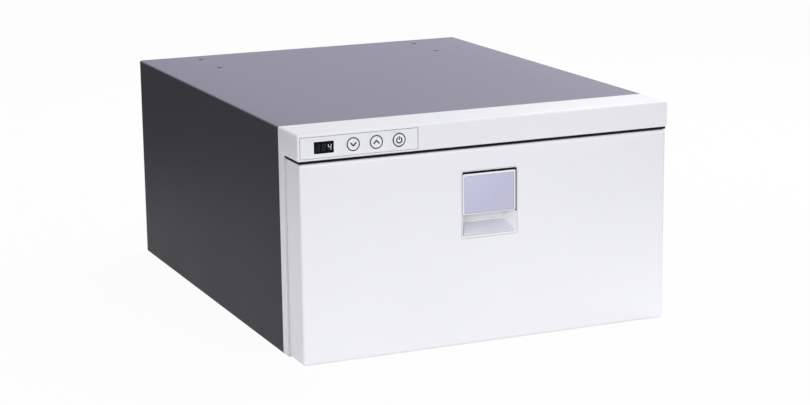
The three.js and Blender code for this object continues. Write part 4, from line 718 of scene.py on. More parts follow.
def key(name):
    """A round key: a profile turned about its own axis, from its stem to a soft-edged, dished cap.
    What lies behind the cap's edge is painted black, as the shade in the gap round the key."""
    angle = np.linspace(0, np.pi / 2, 5)
    soft, low_edge, dish_depth, dish_radius = 0.4, 0.05, 0.12, 6
    stem = [(2, 5.5), (2, 2.7), (8, 2.7), (8, 1.9), (KEY_RADIUS, 1.9), (KEY_RADIUS, 0.6)]
    edge = [(KEY_RADIUS - soft * (1 - math.cos(a)), low_edge + soft * (1 - math.sin(a))) for a in angle]
    dish = [(r, low_edge + dish_depth * (1 - (r / dish_radius) ** 2)) for r in np.linspace(5.5, 0.3, 8)]
    profile = [(radius, FRONT + back) for radius, back in stem + edge + dish]
    skin = Skin().closed(turned(profile, (KEYS[name], KEY_HEIGHT), KEY_SIDES))
    # Painted shade: black behind the cap's edge stands in for the shade in the gap round the key.
    dark = (BLACK_AND_GAP_SHADE, lambda middle: middle[:, 1] > FRONT + 0.55)
    cap, body = f"{name}_key_cap", f"{name}_key"
    skin.piece(cap, body, "panel_plastic", PANEL_WHITE, [f"button_{name}"], second=dark)


def stroke(path, width):
    """A flat line of ink on a key: a path of (x, z) points widened to both sides along its normals,
    with its ends square, and raised a little."""
    return carried(*strip(path, width), "y", (FRONT + 0.2, FRONT + 0.08))


def key_marks():
    """The marks on the keys: two chevrons, and a broken circle with a bar."""
    chevron = softened([[-3.3, -1.8], [0, 1.8], [3.3, -1.8]], 0.5)
    for name, sign in (("down", -1), ("up", 1)):
        ink = Skin().closed(stroke(chevron * [1, sign] + [KEYS[name], KEY_HEIGHT], 1.6))
        ink.piece(f"{name}_mark", f"{name}_key", "black_plastic", INK_AND_EDGE_SHADE)
    x = KEYS["power"]
    ink = Skin().closed(stroke(arc((x, KEY_HEIGHT - 0.2), 3, 120, 420, 40), 1.45))
    ink.closed(stroke([[x, KEY_HEIGHT + 0.2], [x, KEY_HEIGHT + 4]], 1.45))
    ink.piece("power_mark", "power_key", "black_plastic", INK_AND_EDGE_SHADE)


def display():
    """The dark window, and the seven-segment figures on its face. A segment is a hexagon, turned
    upright or not, slanted by a share of its height, and moved to its place in its figure."""
    rows = slab(WINDOW, 0.4, 0.15, PANEL_FACE + 0.12, PANEL_FACE + 1.7, 3)
    Skin().closed(rows).piece("display_lens", "cabinet", "smoked_window", GLASS, ["display_window"])
    half_wide, half_high, half_stroke, slant, pitch = 1.55, 3.2, 0.3, 0.09, 6.4
    bars = [(0, 2, 0), (1, 1, 1), (1, -1, 1), (0, -2, 0), (-1, -1, 1), (-1, 1, 1), (0, 0, 0)]
    shown = {0: set(), 1: set(), 2: {1, 2, 5, 6}}
    lit, dim = Skin(), Skin()
    middle = four(WINDOW).mean(0)
    for figure, bright in shown.items():
        for number, (across, up, upright_bar) in enumerate(bars):
            long = (half_high / 2 if upright_bar else half_wide) - 0.37
            tip = long + half_stroke
            rise = half_stroke * np.array([0, -1, -1, 0, 1, 1])
            flat = np.stack([[-tip, -long, long, tip, long, -long], rise], -1)
            if upright_bar:
                flat = flat @ np.array([[0, 1], [-1, 0]])
            flat = flat * 0.92 + [across * half_wide, up * half_high / 2]
            flat[:, 0] += flat[:, 1] * slant + (figure - 1) * pitch
            group = lit if number in bright else dim
            group.closed(stack("y", [(flat + middle, back) for back in (0.14, 0.08)], PANEL_FACE))
    lit.piece("lit_figures", "cabinet", "smoked_window", LIT)
    dim.piece("dim_figures", "cabinet", "smoked_window", DIM)


# ---------------------------------------------------------------- drawer front and latch
def drawer_face():
    """The drawer's white moulding, one closed wall: from inside its rear rim, round the rim, along its
    sides, over its rounded front edges, across the face, through the latch's opening and back along
    the wall's inner side."""
    wall = 2.5
    inner = ring(inset(DRAWER, wall), 0.7)
    rim = [(inner, -0.4), (ring(inset(DRAWER, wall - 0.4), 1), 0), (ring(inset(DRAWER, 0.5), 2.7), 0)]
    rows = [on("y", inner, FRONT + wall)] + stack("y", rim, DRAWER_BACK)
    rows += slab(DRAWER, 3.2, 3, FRONT, DRAWER_BACK - 0.5)
    rows += lip_rows(inset(LATCH, -SEAT), 2.3, FRONT, [(0.25, 0), (0, 0.25), (0, wall)])
    skin = Skin().patch(rows, looped=True)
    skin.piece("drawer_face", "drawer", "white_plastic", WHITE, ["drawer_front_skin"])


RIM_DEPTH = 1.2
SCOOP_DEPTH = 16.5


def latch_rim():
    """The housing's front frame: a ring with round corners and soft edges, round the flap and scoop."""
    mouth = (LATCH[0] + 1.3, LATCH[1] - 0.8, LATCH[2] + 2.2, LATCH[3] - 0.7)
    rows = slab(LATCH, 2, 0.4, FRONT, FRONT + RIM_DEPTH)
    rows += rolled(mouth, 1.9, -0.3, FRONT, -1)[::-1] + [on("y", ring(mouth, 1.9), FRONT + RIM_DEPTH)]
    Skin().patch(rows, looped=True).piece("latch_rim", "drawer", "white_plastic", LATCH_WHITE_AND_POCKET_SHADE)


def latch_housing():
    """The housing behind its rim: its front points moved back by the rim's depth."""
    def behind_rim(points):
        points[:, 1] = np.where(points[:, 1] < FRONT + 0.01, FRONT + RIM_DEPTH, points[:, 1])
        return points

    refined("latch_housing", "drawer", LATCH_WHITE_AND_POCKET_SHADE, 0.25, moved=behind_rim)


def scoop_plate():
    """The bare satin plate on the scoop's sloping floor: an outline whose width shrinks and whose
    height climbs with its depth, raised a little, with soft edges; and a white bead behind it."""
    half, low = FLAP[1] + 0.4, LATCH[2] + 2.2
    start, end = 1, 15.6
    narrowing, climb = 9, 13

    def sloped(grow, rise):
        a, deep = ring((-half - grow, half + grow, start - grow, end + grow), 1.5).T
        x = a * (1 - narrowing / half * deep / SCOOP_DEPTH) * 0.985
        return np.stack([x, FRONT + deep, low + climb * deep / SCOOP_DEPTH + rise], -1)

    rows = [sloped(0, 0.02), sloped(0, 0.3), sloped(-0.2, 0.45)]
    Skin().closed(rows).piece("scoop_plate", "drawer", "silver_insert", SATIN)
    reach, thick = half - narrowing * end / SCOOP_DEPTH, 0.8
    bead = np.full((9, 3), [0, FRONT + end + 0.1, low + climb * end / SCOOP_DEPTH + thick])
    bead[:, 0] = np.linspace(-reach, reach, 9)
    Skin().closed(tube(bead, thick)).piece("scoop_bead", "drawer", "white_plastic", WHITE)


def flap():
    """The flap: a plate whose soft front edge leads over a narrow rim into a sunk floor, with its
    finger lip, three hinge barrels, a slot for the spring in its back, and the crank that works the
    hook. Behind its upper edge it is painted black, as the shade in the gap round the flap."""
    back = FLAP_FACE + 3.6
    y, z = PIVOT
    slot = ring((5.2, 13.2, z - 7.3, z + 2.85), 0.2)
    rows = stack("y", [(slot, FLAP_FACE + 2.1), (slot, back)]) + slab(FLAP, 1.6, 0.6, FLAP_FACE, back)
    rows += lip_rows(inset(INSERT, -SEAT), 1, FLAP_FACE, [(0.15, 0), (0, 0.15), (0, 1.3)])
    skin = Skin().closed(rows)
    skin.block((FLAP[0], FLAP[1], back - 0.5, back + 3, FLAP[2], FLAP[2] + 1.8), 0.4, 0.6)
    bore, chamfer, wide, soft = 1.35, 2.2, 2.6, 0.4
    for low, high in ((FLAP[0], -15), (-4, 4), (15, FLAP[1])):
        barrel = [(bore, low), (chamfer, low), (wide, low + soft), (wide, high - soft), (chamfer, high)]
        skin.patch(turned(barrel + [(bore, high)], PIVOT, 28, "x"), looped=True)
    crank_end = y + 13
    skin.block((y + 1.9, crank_end, z - 0.9, z + 0.9, -4, 4), 0.3, 0.5, "x")
    skin.closed(turned([(1.3, -4), (1.6, -3.7), (1.6, 3.7), (1.3, 4)], (crank_end, z), 20, "x"))
    # Painted shade: black behind the flap's upper edge stands in for the shade in the gap above it.
    dark = (BLACK_AND_GAP_SHADE, lambda middle: (middle[:, 1] > FLAP_FACE + 0.8) & (middle[:, 2] > FLAP[3] - 6.5))
    skin.piece("flap_body", "flap", "white_plastic", WHITE, ["latch_paddle"], second=dark)
    plate = Skin().closed(slab(INSERT, 0.8, 0.3, INSERT_FACE, INSERT_FACE + 0.8))
    plate.piece("flap_plate", "flap", "silver_insert", SILVER, ["paddle_insert"])


def latch_works():
    """The pin, the spring, a helix with two legs, and the hook."""
    y, z = PIVOT
    low, high = span("latch_pin")[:2]
    pin = [(1, low), (1.25, low + 0.25), (1.25, high - 0.25), (1, high)]
    skin = Skin().closed(turned(pin, PIVOT, 24, "x"))
    skin.piece("hinge_pin", "drawer", "steel", STEEL, ["latch_pin"])
    turns, coil, first, last = 4.25, 2.35, 6, 12.4
    angle = np.linspace(0, 2 * np.pi * turns, 110)
    helix = np.stack([np.linspace(first, last, 110), y - coil * np.cos(angle), z + coil * np.sin(angle)], -1)
    hanging = [[first, y - coil, z - 6.5], [first, y - coil, z - 3]]
    resting = [[last, y + 2.75, z + coil], [last, y + 5.5, z + coil]]
    path = np.concatenate([hanging, helix, resting])
    Skin().closed(tube(path, 0.4, 10)).piece("flap_spring", "drawer", "steel", STEEL, ["paddle_spring"])
    refined("latch_hook", "hook", STEEL, 0.3)
    refined("latch_keeper", "cabinet", STEEL, 0.15)


def door_seal():
    """The magnetic seal: a closed section, with a root, a fold on its outside, and a round magnet
    pocket, carried round the opening."""
    root, tip = DRAWER_BACK + SEAT, BEZEL_FACE - SEAT
    section = np.array([
        [0, 0], [6.4, 0], [7.6, 0.1], [8, 0.22], [7.6, 0.36], [6.6, 0.42], [6.1, 0.5], [6.6, 0.58],
        [7.4, 0.64], [7.8, 0.8], [7.4, 0.95], [6.2, 1], [1.6, 1], [0.5, 0.94], [0.1, 0.8], [0.5, 0.6],
        [0.1, 0.4], [0, 0.2],
    ])
    rows = [(ring(inset(OPENING, -0.6 - grow), 4 + grow * 0.5, 8), share) for grow, share in section]
    skin = Skin().patch(stack("y", rows, root, tip - root), looped=True)
    skin.piece("door_seal", "drawer", "gasket_rubber", GASKET, ["drawer_gasket"], 50)


# ---------------------------------------------------------------- basin, rails and slides
def food_basin():
    """The tub: level outlines that shrink towards its floor by a straight draft, with quarter-round
    fillets at the floor, a turned-out rim with a rolled edge, and seven floor ribs."""
    x0, x1, y0, y1, low, rim = span("drawer_basin")
    tub = (x0 + 7, x1 - 7, y0 + 1, y1 - 1)
    wall, rim_thick, draft, corner = 2.5, 2.4, 5, 22
    outer_fillet, inner_fillet = 6, 9
    half, middle, floor = tub[1], (tub[2] + tub[3]) / 2, low + wall

    def level(shrink, z, base, fillet=0):
        scale = 1 - (rim - z) / (rim - base) * draft / half
        loop = ring(inset(tub, shrink + fillet), max(corner - shrink - fillet, 4), 8)
        return on("z", (loop - [0, middle]) * scale + [0, middle], z)

    angle = np.linspace(0, np.pi / 2, 6)
    turns = [(1 - math.cos(a), 1 - math.sin(a)) for a in angle]
    rows = [level(0, low + outer_fillet * rise, low, outer_fillet * go) for rise, go in turns]
    rows += [level(0, rim - rim_thick, low)]
    edges = ((rim - rim_thick, 1), (rim, -1))
    under, over = (rolled((x0, x1, y0, y1), 24, 1, z, way, "z", 8, 3) for z, way in edges)
    rows += under[::-1] + over + [level(wall - 0.8, rim, floor), level(wall, rim - 0.8, floor)]
    rows += [level(wall, floor + inner_fillet * rise, floor, inner_fillet * go) for go, rise in turns]
    skin = Skin().closed(rows)
    for i in range(-3, 4):
        rib = inset((i * 40, i * 40, y0 + 27.3, y1 - 27.3), -1.3)
        skin.block((*rib, floor - 0.4, floor + 1.5), 0.8, 1.3, "z", 4, 4)
    skin.piece("food_basin", "drawer", "liner_plastic", LINER, ["drawer_basin"])


def basin_rail(name, side):
    """A folded steel side: the bent sheet's outline carried along the drawer, with three slots in cells
    of its web, and the tab that is screwed to the drawer front."""
    web, half_sheet, top, end = 167.2, 0.6, 180.7, 160
    front, rear = span(f"side_rail_{name}")[2:4]
    foot, bend, low_cell, high_cell = 106, 1.4, 138, 174
    straight = [[web, foot], [web, low_cell], [web, high_cell]]
    line = np.concatenate([straight, arc((web - bend, top - bend), bend, 0, 90, 5), [[end, top]]])
    slots = [(-189.5 + 100 * i, -137.5 + 100 * i) for i in range(3)]
    cells = [(low - 8, high + 8) for low, high in slots]
    places = [front] + [y for cell in cells for y in cell] + [rear]

    def off_cells(middle):
        in_cell = np.any([(middle[:, 1] > low) & (middle[:, 1] < high) for low, high in cells], 0)
        high = abs(middle[:, 2] - (low_cell + high_cell) / 2) < 17
        return ~(in_cell & high & (abs(abs(middle[:, 0] - side * web) - half_sheet) < 0.05))

    sides = strip(line * [side, 1], 2 * half_sheet)
    skin = Skin().patch(carried(*sides, "y", places), first=True, last=True, keep=off_cells)
    for slot, cell in zip(slots, cells):
        hole = ring((*slot, 146, 166), 8)
        outer = cell_loop((*cell, low_cell, high_cell), hole)
        near, far = side * (web + half_sheet), side * (web - half_sheet)
        skin.patch(stack("x", [(outer, near), (hole, near), (hole, far), (outer, far)]))
    across = sorted((side * (web - 6), side * (web - half_sheet)))
    skin.block((*across, 107, 179, front, front + 1.5), 0.3, 1.5, "y")
    skin.piece(f"basin_rail_{name}", "drawer", "zinc_steel", ZINC, [f"side_rail_{name}"])


WALL_SIDE = 180.7
SLIDE_MIDDLE = 120
OUTER_BALLS, INNER_BALLS = (6.9, 15.3), (7.9, 10.9)
RACE = 2.2


def channel(side, half_line, sheet, y0, y1):
    """A channel of bent sheet: a line from its web's middle upwards and its mirror image, measured from
    the cavity's wall, carried from one end to the other."""
    half_line = np.asarray(half_line, float)
    line = np.concatenate([half_line[::-1] * [1, -1], half_line])
    return carried(*strip(line * [-side, 1] + [side * WALL_SIDE, SLIDE_MIDDLE], sheet), "y", (y0, y1))


def ball(x, y, z):
    """A ball: a half circle turned about Y."""
    radius = 1.5
    angle = np.linspace(0.02, np.pi - 0.02, 9)
    return turned([(radius * math.sin(a), y + radius * math.cos(a)) for a in angle], (x, z), 16)


def telescopic_slide(name, side):
    """Three nested channels, whose lips curl round two ball rows each, and the two ball cages."""
    outer_top, middle_top, inner_top = OUTER_BALLS[1] + RACE, OUTER_BALLS[1] - RACE, INNER_BALLS[1] - RACE
    outer = np.concatenate([arc((1.3, outer_top - 0.8), 0.8, 180, 90, 4), arc(OUTER_BALLS, RACE, 90, 15, 10)])
    middle = [[2.8, 7.9], [2.8, middle_top - 0.1], [8.7, middle_top - 0.1], [10.4, middle_top + 0.9]]
    inner = [[12.1, 3], [12.1, inner_top - 0.1], [5.7, inner_top - 0.1]]
    lines = {"outer": outer, "middle": softened(middle, 0.7), "inner": softened(inner, 0.9)}
    bodies = {"outer": "cabinet", "middle": f"middle_member_{name}", "inner": "drawer"}
    for member, line in lines.items():
        node = f"slide_{member}_{name}"
        skin = Skin().closed(channel(side, line, 1, *span(node)[2:4]))
        skin.piece(f"{member}_member_{name}", bodies[member], "zinc_steel", ZINC, [node])
    for row, (across, up), web in (("outer", OUTER_BALLS, 1.65), ("inner", INNER_BALLS, 4.2)):
        node = f"ball_cage_{row}_{name}"
        y0, y1 = span(node)[2:4]
        line = [[web, up - 2], [web, up - 0.05], [web + 0.2, up], [across, up]]
        skin = Skin().closed(channel(side, line, 0.5, y0, y1))
        for y in (y0 + 5, (y0 + y1) / 2, y1 - 5):
            for height in (-up, up):
                skin.closed(ball(side * (WALL_SIDE - across), y, SLIDE_MIDDLE + height))
        skin.piece(f"{row}_balls_{name}", f"{row}_cage_{name}", "steel", STEEL, [node])


# ---------------------------------------------------------------- cold space
def cavity_liner():
    """The moulded liner: the opening's outline carried back, with a filleted rear wall, and the four
    studs that carry the cooling plate."""
    wall = inset(OPENING, -2)
    front, rear = span("inner_liner")[2:4]
    outer_corner, inner_corner = 10, 8
    shell = rolled(wall, outer_corner, 4, rear, -1)[::-1]
    mouth = stack("y", [(ring(wall, outer_corner), front), (ring(OPENING, inner_corner), front)])
    skin = Skin().closed(shell + mouth + rolled(OPENING, inner_corner, 6, CAVITY_BACK, -1))
    stud = [(5, CAVITY_BACK + 0.5), (5, CAVITY_BACK - 0.3), (4, CAVITY_BACK - 1), (4, 116.3)]
    x0, x1, z0, z1 = inset(upright("evaporator_plate"), 12)
    for x in (x0, x1):
        for z in (z0, z1):
            skin.closed(turned(stud, (x, z), 24))
    skin.piece("cavity_liner", "cabinet", "liner_plastic", LINER, ["inner_liner"])


def cooling_plate():
    """The roll-bonded plate: a sheet whose height is 1.5 * sqrt(1 - (d / 3.5)^2), for a distance d from
    the serpentine's middle line, and nothing beyond 3.5; a flat back, and two pipe ends."""
    x0, x1, z0, z1 = upright("evaporator_plate")
    face, back, half_pipe = 114.5, 116, 3.5
    x, z = np.meshgrid(np.linspace(x0, x1, 280), np.linspace(z0, z1, 120))
    left, right, low, pitch = x0 + 23.5, x1 - 23.5, z0 + 18, (z1 - z0 - 36) / 4
    away = np.full(x.shape, np.inf)
    for i in range(5):
        level = low + i * pitch
        away = np.minimum(away, np.hypot(x - np.clip(x, left, right), z - level))
        if i < 4:
            turn = right if i % 2 else left
            away = np.minimum(away, np.hypot(x - turn, z - np.clip(z, level, level + pitch)))
    height = 1.5 * np.sqrt(np.clip(1 - (away / half_pipe) ** 2, 0, 1))
    skin = Skin().patch(np.stack([x, face - height, z], -1), around=False)
    edge = [np.concatenate([v[0], v[1:, -1], v[-1, -2::-1], v[-2:0:-1, 0]]) for v in (x, z)]
    loop = np.stack(edge, -1)
    skin.patch(stack("y", [(loop, back), (loop, face)]), first=True)
    for radius, across in ((4, 60), (2.5, -18)):
        skin.closed(turned([(radius, 117.5), (radius, 115.8)], (across, 165), 24))
    skin.piece("cooling_plate", "cabinet", "aluminium", ALUMINIUM, ["evaporator_plate"], 50)


# ---------------------------------------------------------------- sealed unit
POT, POT_Y = (122, 20, 148), (154.5 + 275.8) / 2
COIL_Y = 234.5
HALF_COIL = 42
PIPE_WALL = 165


def compressor_pot():
    """The pot: two drawn shells and a weld flange as one profile turned about Z and stretched across,
    on a foot plate, with two stubs. The four rubber feet are turned too."""
    x, low, high = POT
    weld, dome, crown = low + 70, 18, 34
    lower, radius, upper = 52.5, 54, 51.5
    profile = [(0.5, low), *arc((lower - dome, low + dome), dome, -90, 0, 8)]
    profile += [(lower, weld - 3), (lower + 0.5, weld - 2), (radius - 0.3, weld - 2), (radius, weld - 1.6)]
    profile += [(radius, weld + 1.6), (radius - 0.3, weld + 2), (upper + 0.6, weld + 2.3)]
    profile += [(upper, weld + 3.4)]
    profile += [*arc((upper - crown, high - crown), crown, 0, 90, 12), (0.5, high)]
    skin = Skin().closed(turned(profile, (x, POT_Y), 64, "z", 1.28))
    skin.block((x - 84, x + 84, POT_Y - 50, POT_Y + 50, low - 3, low + 0.4), 0.8, 12, "z", 5, 3)
    for across, bore in ((30, 4), (-30, 3)):
        stub = [(bore + 1.5, high - 6), (bore + 0.4, high - 1), (bore, high), (bore, high + 10)]
        skin.closed(turned(stub, (x + across, POT_Y), 24, "z"))
    skin.piece("compressor_pot", "cabinet", "black_enamel", ENAMEL, ["compressor"])
    for i in range(4):
        node = f"compressor_grommet_{i + 1}"
        x0, x1, y0, y1, z0, z1 = span(node)
        top = z1 - 5
        profile = [
            (8, z0), (9, z0 + 1), (9, top - 6), (7.2, top - 5), (7.2, top - 4), (9, top - 3), (9, top - 1),
            (8.4, top), (4.6, top), (4.6, z1 - 0.8), (3.9, z1),
        ]
        skin = Skin().closed(turned(profile, ((x0 + x1) / 2, (y0 + y1) / 2), 32, "z"))
        skin.piece(f"pot_foot_{i + 1}", "cabinet", "rubber", RUBBER_AND_GAP_SHADE, [node])


def condenser_pack():
    """The coil: four straight tubes, three half-circle bends, and a pack of thin fins between two end
    plates that stand on the base."""
    left, right, pitch, tube_radius = FAN[0] - 62, FAN[0] + 62, 28, 4
    low = FAN[1] - HALF_COIL
    skin = Skin()
    for row in range(4):
        z = low + row * pitch
        end = right + 16 if row in (0, 3) else right + 6
        skin.closed(turned([(tube_radius, left - 6), (tube_radius, end)], (COIL_Y, z), 20, "x"))
        if row < 3:
            turn, x = (1, right + 6) if row % 2 else (-1, left - 6)
            bend = arc((0, z + pitch / 2), pitch / 2, -90, 90, 16)
            path = np.stack([x + turn * bend[:, 0], np.full(len(bend), COIL_Y), bend[:, 1]], -1)
            skin.closed(tube(path, tube_radius, 20))
    for i, x in enumerate(np.linspace(left, right, 41)):
        last = i in (0, 40)
        half, foot = (1, 2.8) if last else (0.15, low - 16)
        outline = (COIL_Y - 15, COIL_Y + 15.7, foot, low + 3 * pitch + 16)
        skin.block((*outline, x - half, x + half), 0.12, 1, "x", 1, 1)
    skin.piece("condenser_pack", "cabinet", "aluminium", ALUMINIUM, ["condenser"])


def pipework():
    """The refrigerant lines along the frame's own routes, and the filter drier."""
    stub, drier = 158.3, -8
    port, coil_high, coil_low = -41.7, FAN[1] + HALF_COIL, FAN[1] - HALF_COIL
    rear_wall, plate_end = 154.5, 117.8
    suction_x, feed_x = 60, -18
    x, over = POT[0] - 30, POT[0] + 30
    routes = {
        "discharge_line": (3, [
            [x, POT_Y, stub], [x, POT_Y, stub + 10], [x - 6, POT_Y, stub + 28], [x - 30, POT_Y, stub + 38],
            [x - 96, POT_Y, stub + 36], [x - 112, POT_Y + 6, stub + 20],
            [port + 19.7, COIL_Y, coil_high + 22], [port + 14.7, COIL_Y, coil_high + 4],
            [port + 6, COIL_Y, coil_high], [port, COIL_Y, coil_high]]),
        "liquid_line": (2.5, [
            [port, COIL_Y, coil_low], [port + 6, COIL_Y, coil_low], [drier - 3, COIL_Y, coil_low + 4],
            [drier, COIL_Y, coil_low + 18], [drier, COIL_Y, 61.7]]),
        "capillary_line": (1.5, [
            [drier, COIL_Y, 148.3], [drier, COIL_Y, 154], [drier + 2, COIL_Y - 10, 172],
            [feed_x, rear_wall + 35.5, 174], [feed_x, rear_wall + 17.5, 171],
            [feed_x, rear_wall + 7.5, PIPE_WALL], [feed_x, rear_wall - 14.5, PIPE_WALL],
            [feed_x, plate_end, PIPE_WALL]]),
        "suction_line": (4, [
            [suction_x, plate_end, PIPE_WALL], [suction_x, rear_wall - 14.5, PIPE_WALL],
            [suction_x, rear_wall + 5.5, PIPE_WALL], [suction_x + 6, rear_wall + 21.5, 171],
            [suction_x + 26, rear_wall + 37.5, 191], [over - 16, POT_Y - 6, stub + 38],
            [over - 1, POT_Y, stub + 26], [over, POT_Y, stub + 10], [over, POT_Y, stub]]),
    }
    for node, (radius, points) in routes.items():
        skin = Skin().closed(tube(smooth_path(points), radius, 16))
        skin.piece(f"copper_{node}", "cabinet", "copper", COPPER, [node])
    low, high = 62, 148
    profile = [
        (3, low), (3.4, low + 5), (4.2, low + 6.5), (7.6, low + 11), (8.5, low + 14), (8.5, high - 14),
        (7.6, high - 11), (3.6, high - 6.5), (2.8, high - 5), (2, high),
    ]
    skin = Skin().closed(turned(profile, (drier, COIL_Y), 32, "z"))
    skin.piece("drier", "cabinet", "copper", COPPER, ["filter_drier"])


def fan():
    """The fan: a square frame whose outline runs into the bore's circle, its bearing on four struts, and
    seven blades. A blade is a grid of radius r and chord c: its edges sweep forwards with the radius,
    it is pitched by 58 degrees and arched by 1.2 * (1 - c^2), and it has two sides."""
    front, back = span("fan_frame")[2:4]
    sides, bore_radius, soft, deep = 48, 57, 1.5, 4
    square = inset((FAN[0], FAN[0], FAN[1], FAN[1]), -60)
    circles = (circle(radius, FAN, sides) for radius in (bore_radius, bore_radius + soft))
    bore, wide = (np.roll(loop, sides // 4, 0) for loop in circles)
    ends = ((front, 1), (back, -1))
    near, far = (rolled(square, 7, 0.8, y, way, steps=11, rows=3) for y, way in ends)
    inside = [(wide, front), (bore, front + soft), (bore, back - soft), (wide, back)]
    skin = Skin().patch(far[::-1] + near + stack("y", inside), looped=True)
    bearing = [(2.7, back), (18.4, back), (19, back - 0.6), (19, back - deep), (2.7, back - deep)]
    skin.patch(turned(bearing, FAN, sides), looped=True)
    strut, strut_wide = (14, 58), 5
    for i in range(4):
        angle = math.pi / 4 + i * math.pi / 2
        middle = FAN + np.outer(strut, (math.cos(angle), math.sin(angle)))
        skin.closed(carried(*strip(middle, strut_wide), "y", (back, back - deep)))
    skin.piece("fan_housing", "cabinet", "black_plastic", BLACK_AND_GAP_SHADE, ["fan_frame"])
    near, far = span("fan_rotor")[2], back - 4.3
    hub = [(2.5, back - 0.5), (2.5, far), (17.5, far), (19, far - 1.5), (19, near + 2.5)]
    skin = Skin().closed(turned(hub + [(18.2, near + 0.8), (16.5, near)], FAN, sides))
    root, tip = 17, 55.5
    r, c = np.meshgrid(np.linspace(root, tip, 16), np.linspace(-1, 1, 9))
    share = (r - root) / (tip - root)
    middle, half = 4 * share ** 2, 9 + 5 * share
    arch = 1.2 * (1 - c ** 2)
    pitch, blades = math.radians(58), 7
    for i in range(blades):
        turn = 2 * np.pi * i / blades
        faces = []
        for thick in (-0.8, 0.8):
            v, w = middle + half * c, arch + thick * (1 - 0.6 * abs(c) ** 3)
            depth = v * math.cos(pitch) - w * math.sin(pitch)
            around = v * math.sin(pitch) + w * math.cos(pitch)
            reach = np.sqrt(np.clip(r ** 2 - around ** 2, 1, None))
            x = FAN[0] + reach * math.cos(turn) + around * math.sin(turn)
            z = FAN[1] - reach * math.sin(turn) + around * math.cos(turn)
            faces.append(np.stack([x, (near + far) / 2 + depth, z], -1))
        skin.closed(np.concatenate([faces[0], faces[1][::-1]]).transpose(1, 0, 2))
    skin.piece("fan_blades", "rotor", "black_plastic", BLACK_AND_GAP_SHADE, ["fan_rotor"])


# ---------------------------------------------------------------- rear
def vent_panel():
    """The rear sheet in cells. Round every slot the sheet rises to a rolled lip: the slot's outline
    grows by g while the height follows a half circle."""
    thick = 1.2
    edge = HALF - SHEET - SEAT
    low, high = 2.8, 248.7
    columns = {"fan": (62, 178), "pot": (-185, -59)}
    half_cell, half_slot, rise_of_pot, sides = 6.5, 2.5, 10.5, 40
    round_reach, shortest, pot_half = 54, 20, 60
    skin = Skin()
    lip = [(1.7, 0), (1.45, 0.45), (0.85, 0.8), (0.25, 0.75), (0, 0.4), (0, -thick), (1.7, -thick)]
    for i in range(8):
        z = FAN[1] + (2 * i - 7) * half_cell
        half = math.sqrt(max(round_reach ** 2 - (z - FAN[1]) ** 2, shortest ** 2))
        for name, height, long in (("fan", z, half), ("pot", z + rise_of_pot, pot_half)):
            left, right = columns[name]
            middle = ((left + right) / 2, height)
            cell = (left, right, height - half_cell, height + half_cell)
            rims = [(slot_loop(long + grow, half_slot + grow, middle, sides), rise) for grow, rise in lip]
            outer = cell_loop(cell, slot_loop(long, half_slot, middle, sides))
            levels = [(outer, 0), *rims, (outer, -thick)]
            skin.patch([behind(loop, REAR_PANEL + rise) for loop, rise in levels])
    across, up = -GLAND[0], GLAND[1]
    left, right, under, over = inset((across, across, up, up), -12)
    bore = circle(6.3, (across, up), sides)
    outer = cell_loop((left, right, under, over), bore)
    levels = ((outer, 0), (bore, 0), (bore, thick), (outer, thick))
    skin.patch([behind(loop, REAR_PANEL - back) for loop, back in levels])
    fan_low, fan_high = FAN[1] - 8 * half_cell, FAN[1] + 8 * half_cell
    fan_left, fan_right = columns["fan"]
    pot_left, pot_right = columns["pot"]
    plain = [
        (fan_right, edge, low, high), (fan_left, fan_right, low, fan_low),
        (fan_left, fan_right, fan_high, high), (right, fan_left, low, high),
        (left, right, low, under), (left, right, over, high),
        (pot_right, left, low, high), (pot_left, pot_right, low, fan_low + rise_of_pot),
        (pot_left, pot_right, fan_high + rise_of_pot, high), (-edge, pot_left, low, high),
    ]
    for bounds in plain:
        skin.closed([behind(four(bounds), REAR_PANEL - thick), behind(four(bounds), REAR_PANEL)])
    skin.piece("vent_panel", "cabinet", "cabinet_steel", STEEL_PAINT, ["rear_panel"])


def lead_gland():
    """The black grommet of the lead: a ribbed collar with a bore, turned about its own axis."""
    profile = [
        (3.6, -8), (6, -8), (6, 0.3), (8.6, 0.3), (9, 0.7), (9, 1.5), (8.6, 2), (7.4, 2.3),
        (7, 3.2), (6.5, 4), (6.3, 4.9), (5.9, 5.2), (4.2, 5.2), (3.6, 4.7),
    ]
    rows = turned([(radius, REAR_PANEL + out) for radius, out in profile], GLAND, 48)
    Skin().patch(rows, looped=True).piece("lead_gland", "cabinet", "rubber", RUBBER_AND_GAP_SHADE, ["cable_gland"])


def screw_heads(name, places, body, radius, rise, outward):
    """Pan-head screws. Each is a grid of radius and angle: the height is a dome, less a cross-shaped
    recess whose arms are narrow bands of x and of z. `outward` is the side of Y that they face."""
    around = np.linspace(0, 2 * np.pi, 48, endpoint=False)
    share, angle = np.meshgrid(np.linspace(1, 0.02, 22), around, indexing="ij")
    x, z = radius * share * np.cos(angle), radius * share * np.sin(angle)
    half_arm, reach, recess = 0.42, radius * 0.62, rise * 0.6
    dome = rise * np.sqrt(1 - (0.95 * share) ** 4)
    in_arm = np.clip((half_arm - np.minimum(abs(x), abs(z))) / 0.15, 0, 1)
    in_reach = np.clip((reach - np.hypot(x, z)) / 0.3, 0, 1)
    height = dome - in_arm * in_reach * recess
    skin = Skin()
    for px, py, pz in places:
        foot = np.stack([px + x[:1], np.full_like(x[:1], py - outward * 0.3), pz + z[:1]], -1)
        head = np.stack([px + x, py + outward * height, pz + z], -1)
        skin.closed(np.concatenate([foot, head]))
    skin.piece(name, body, "steel", STEEL)


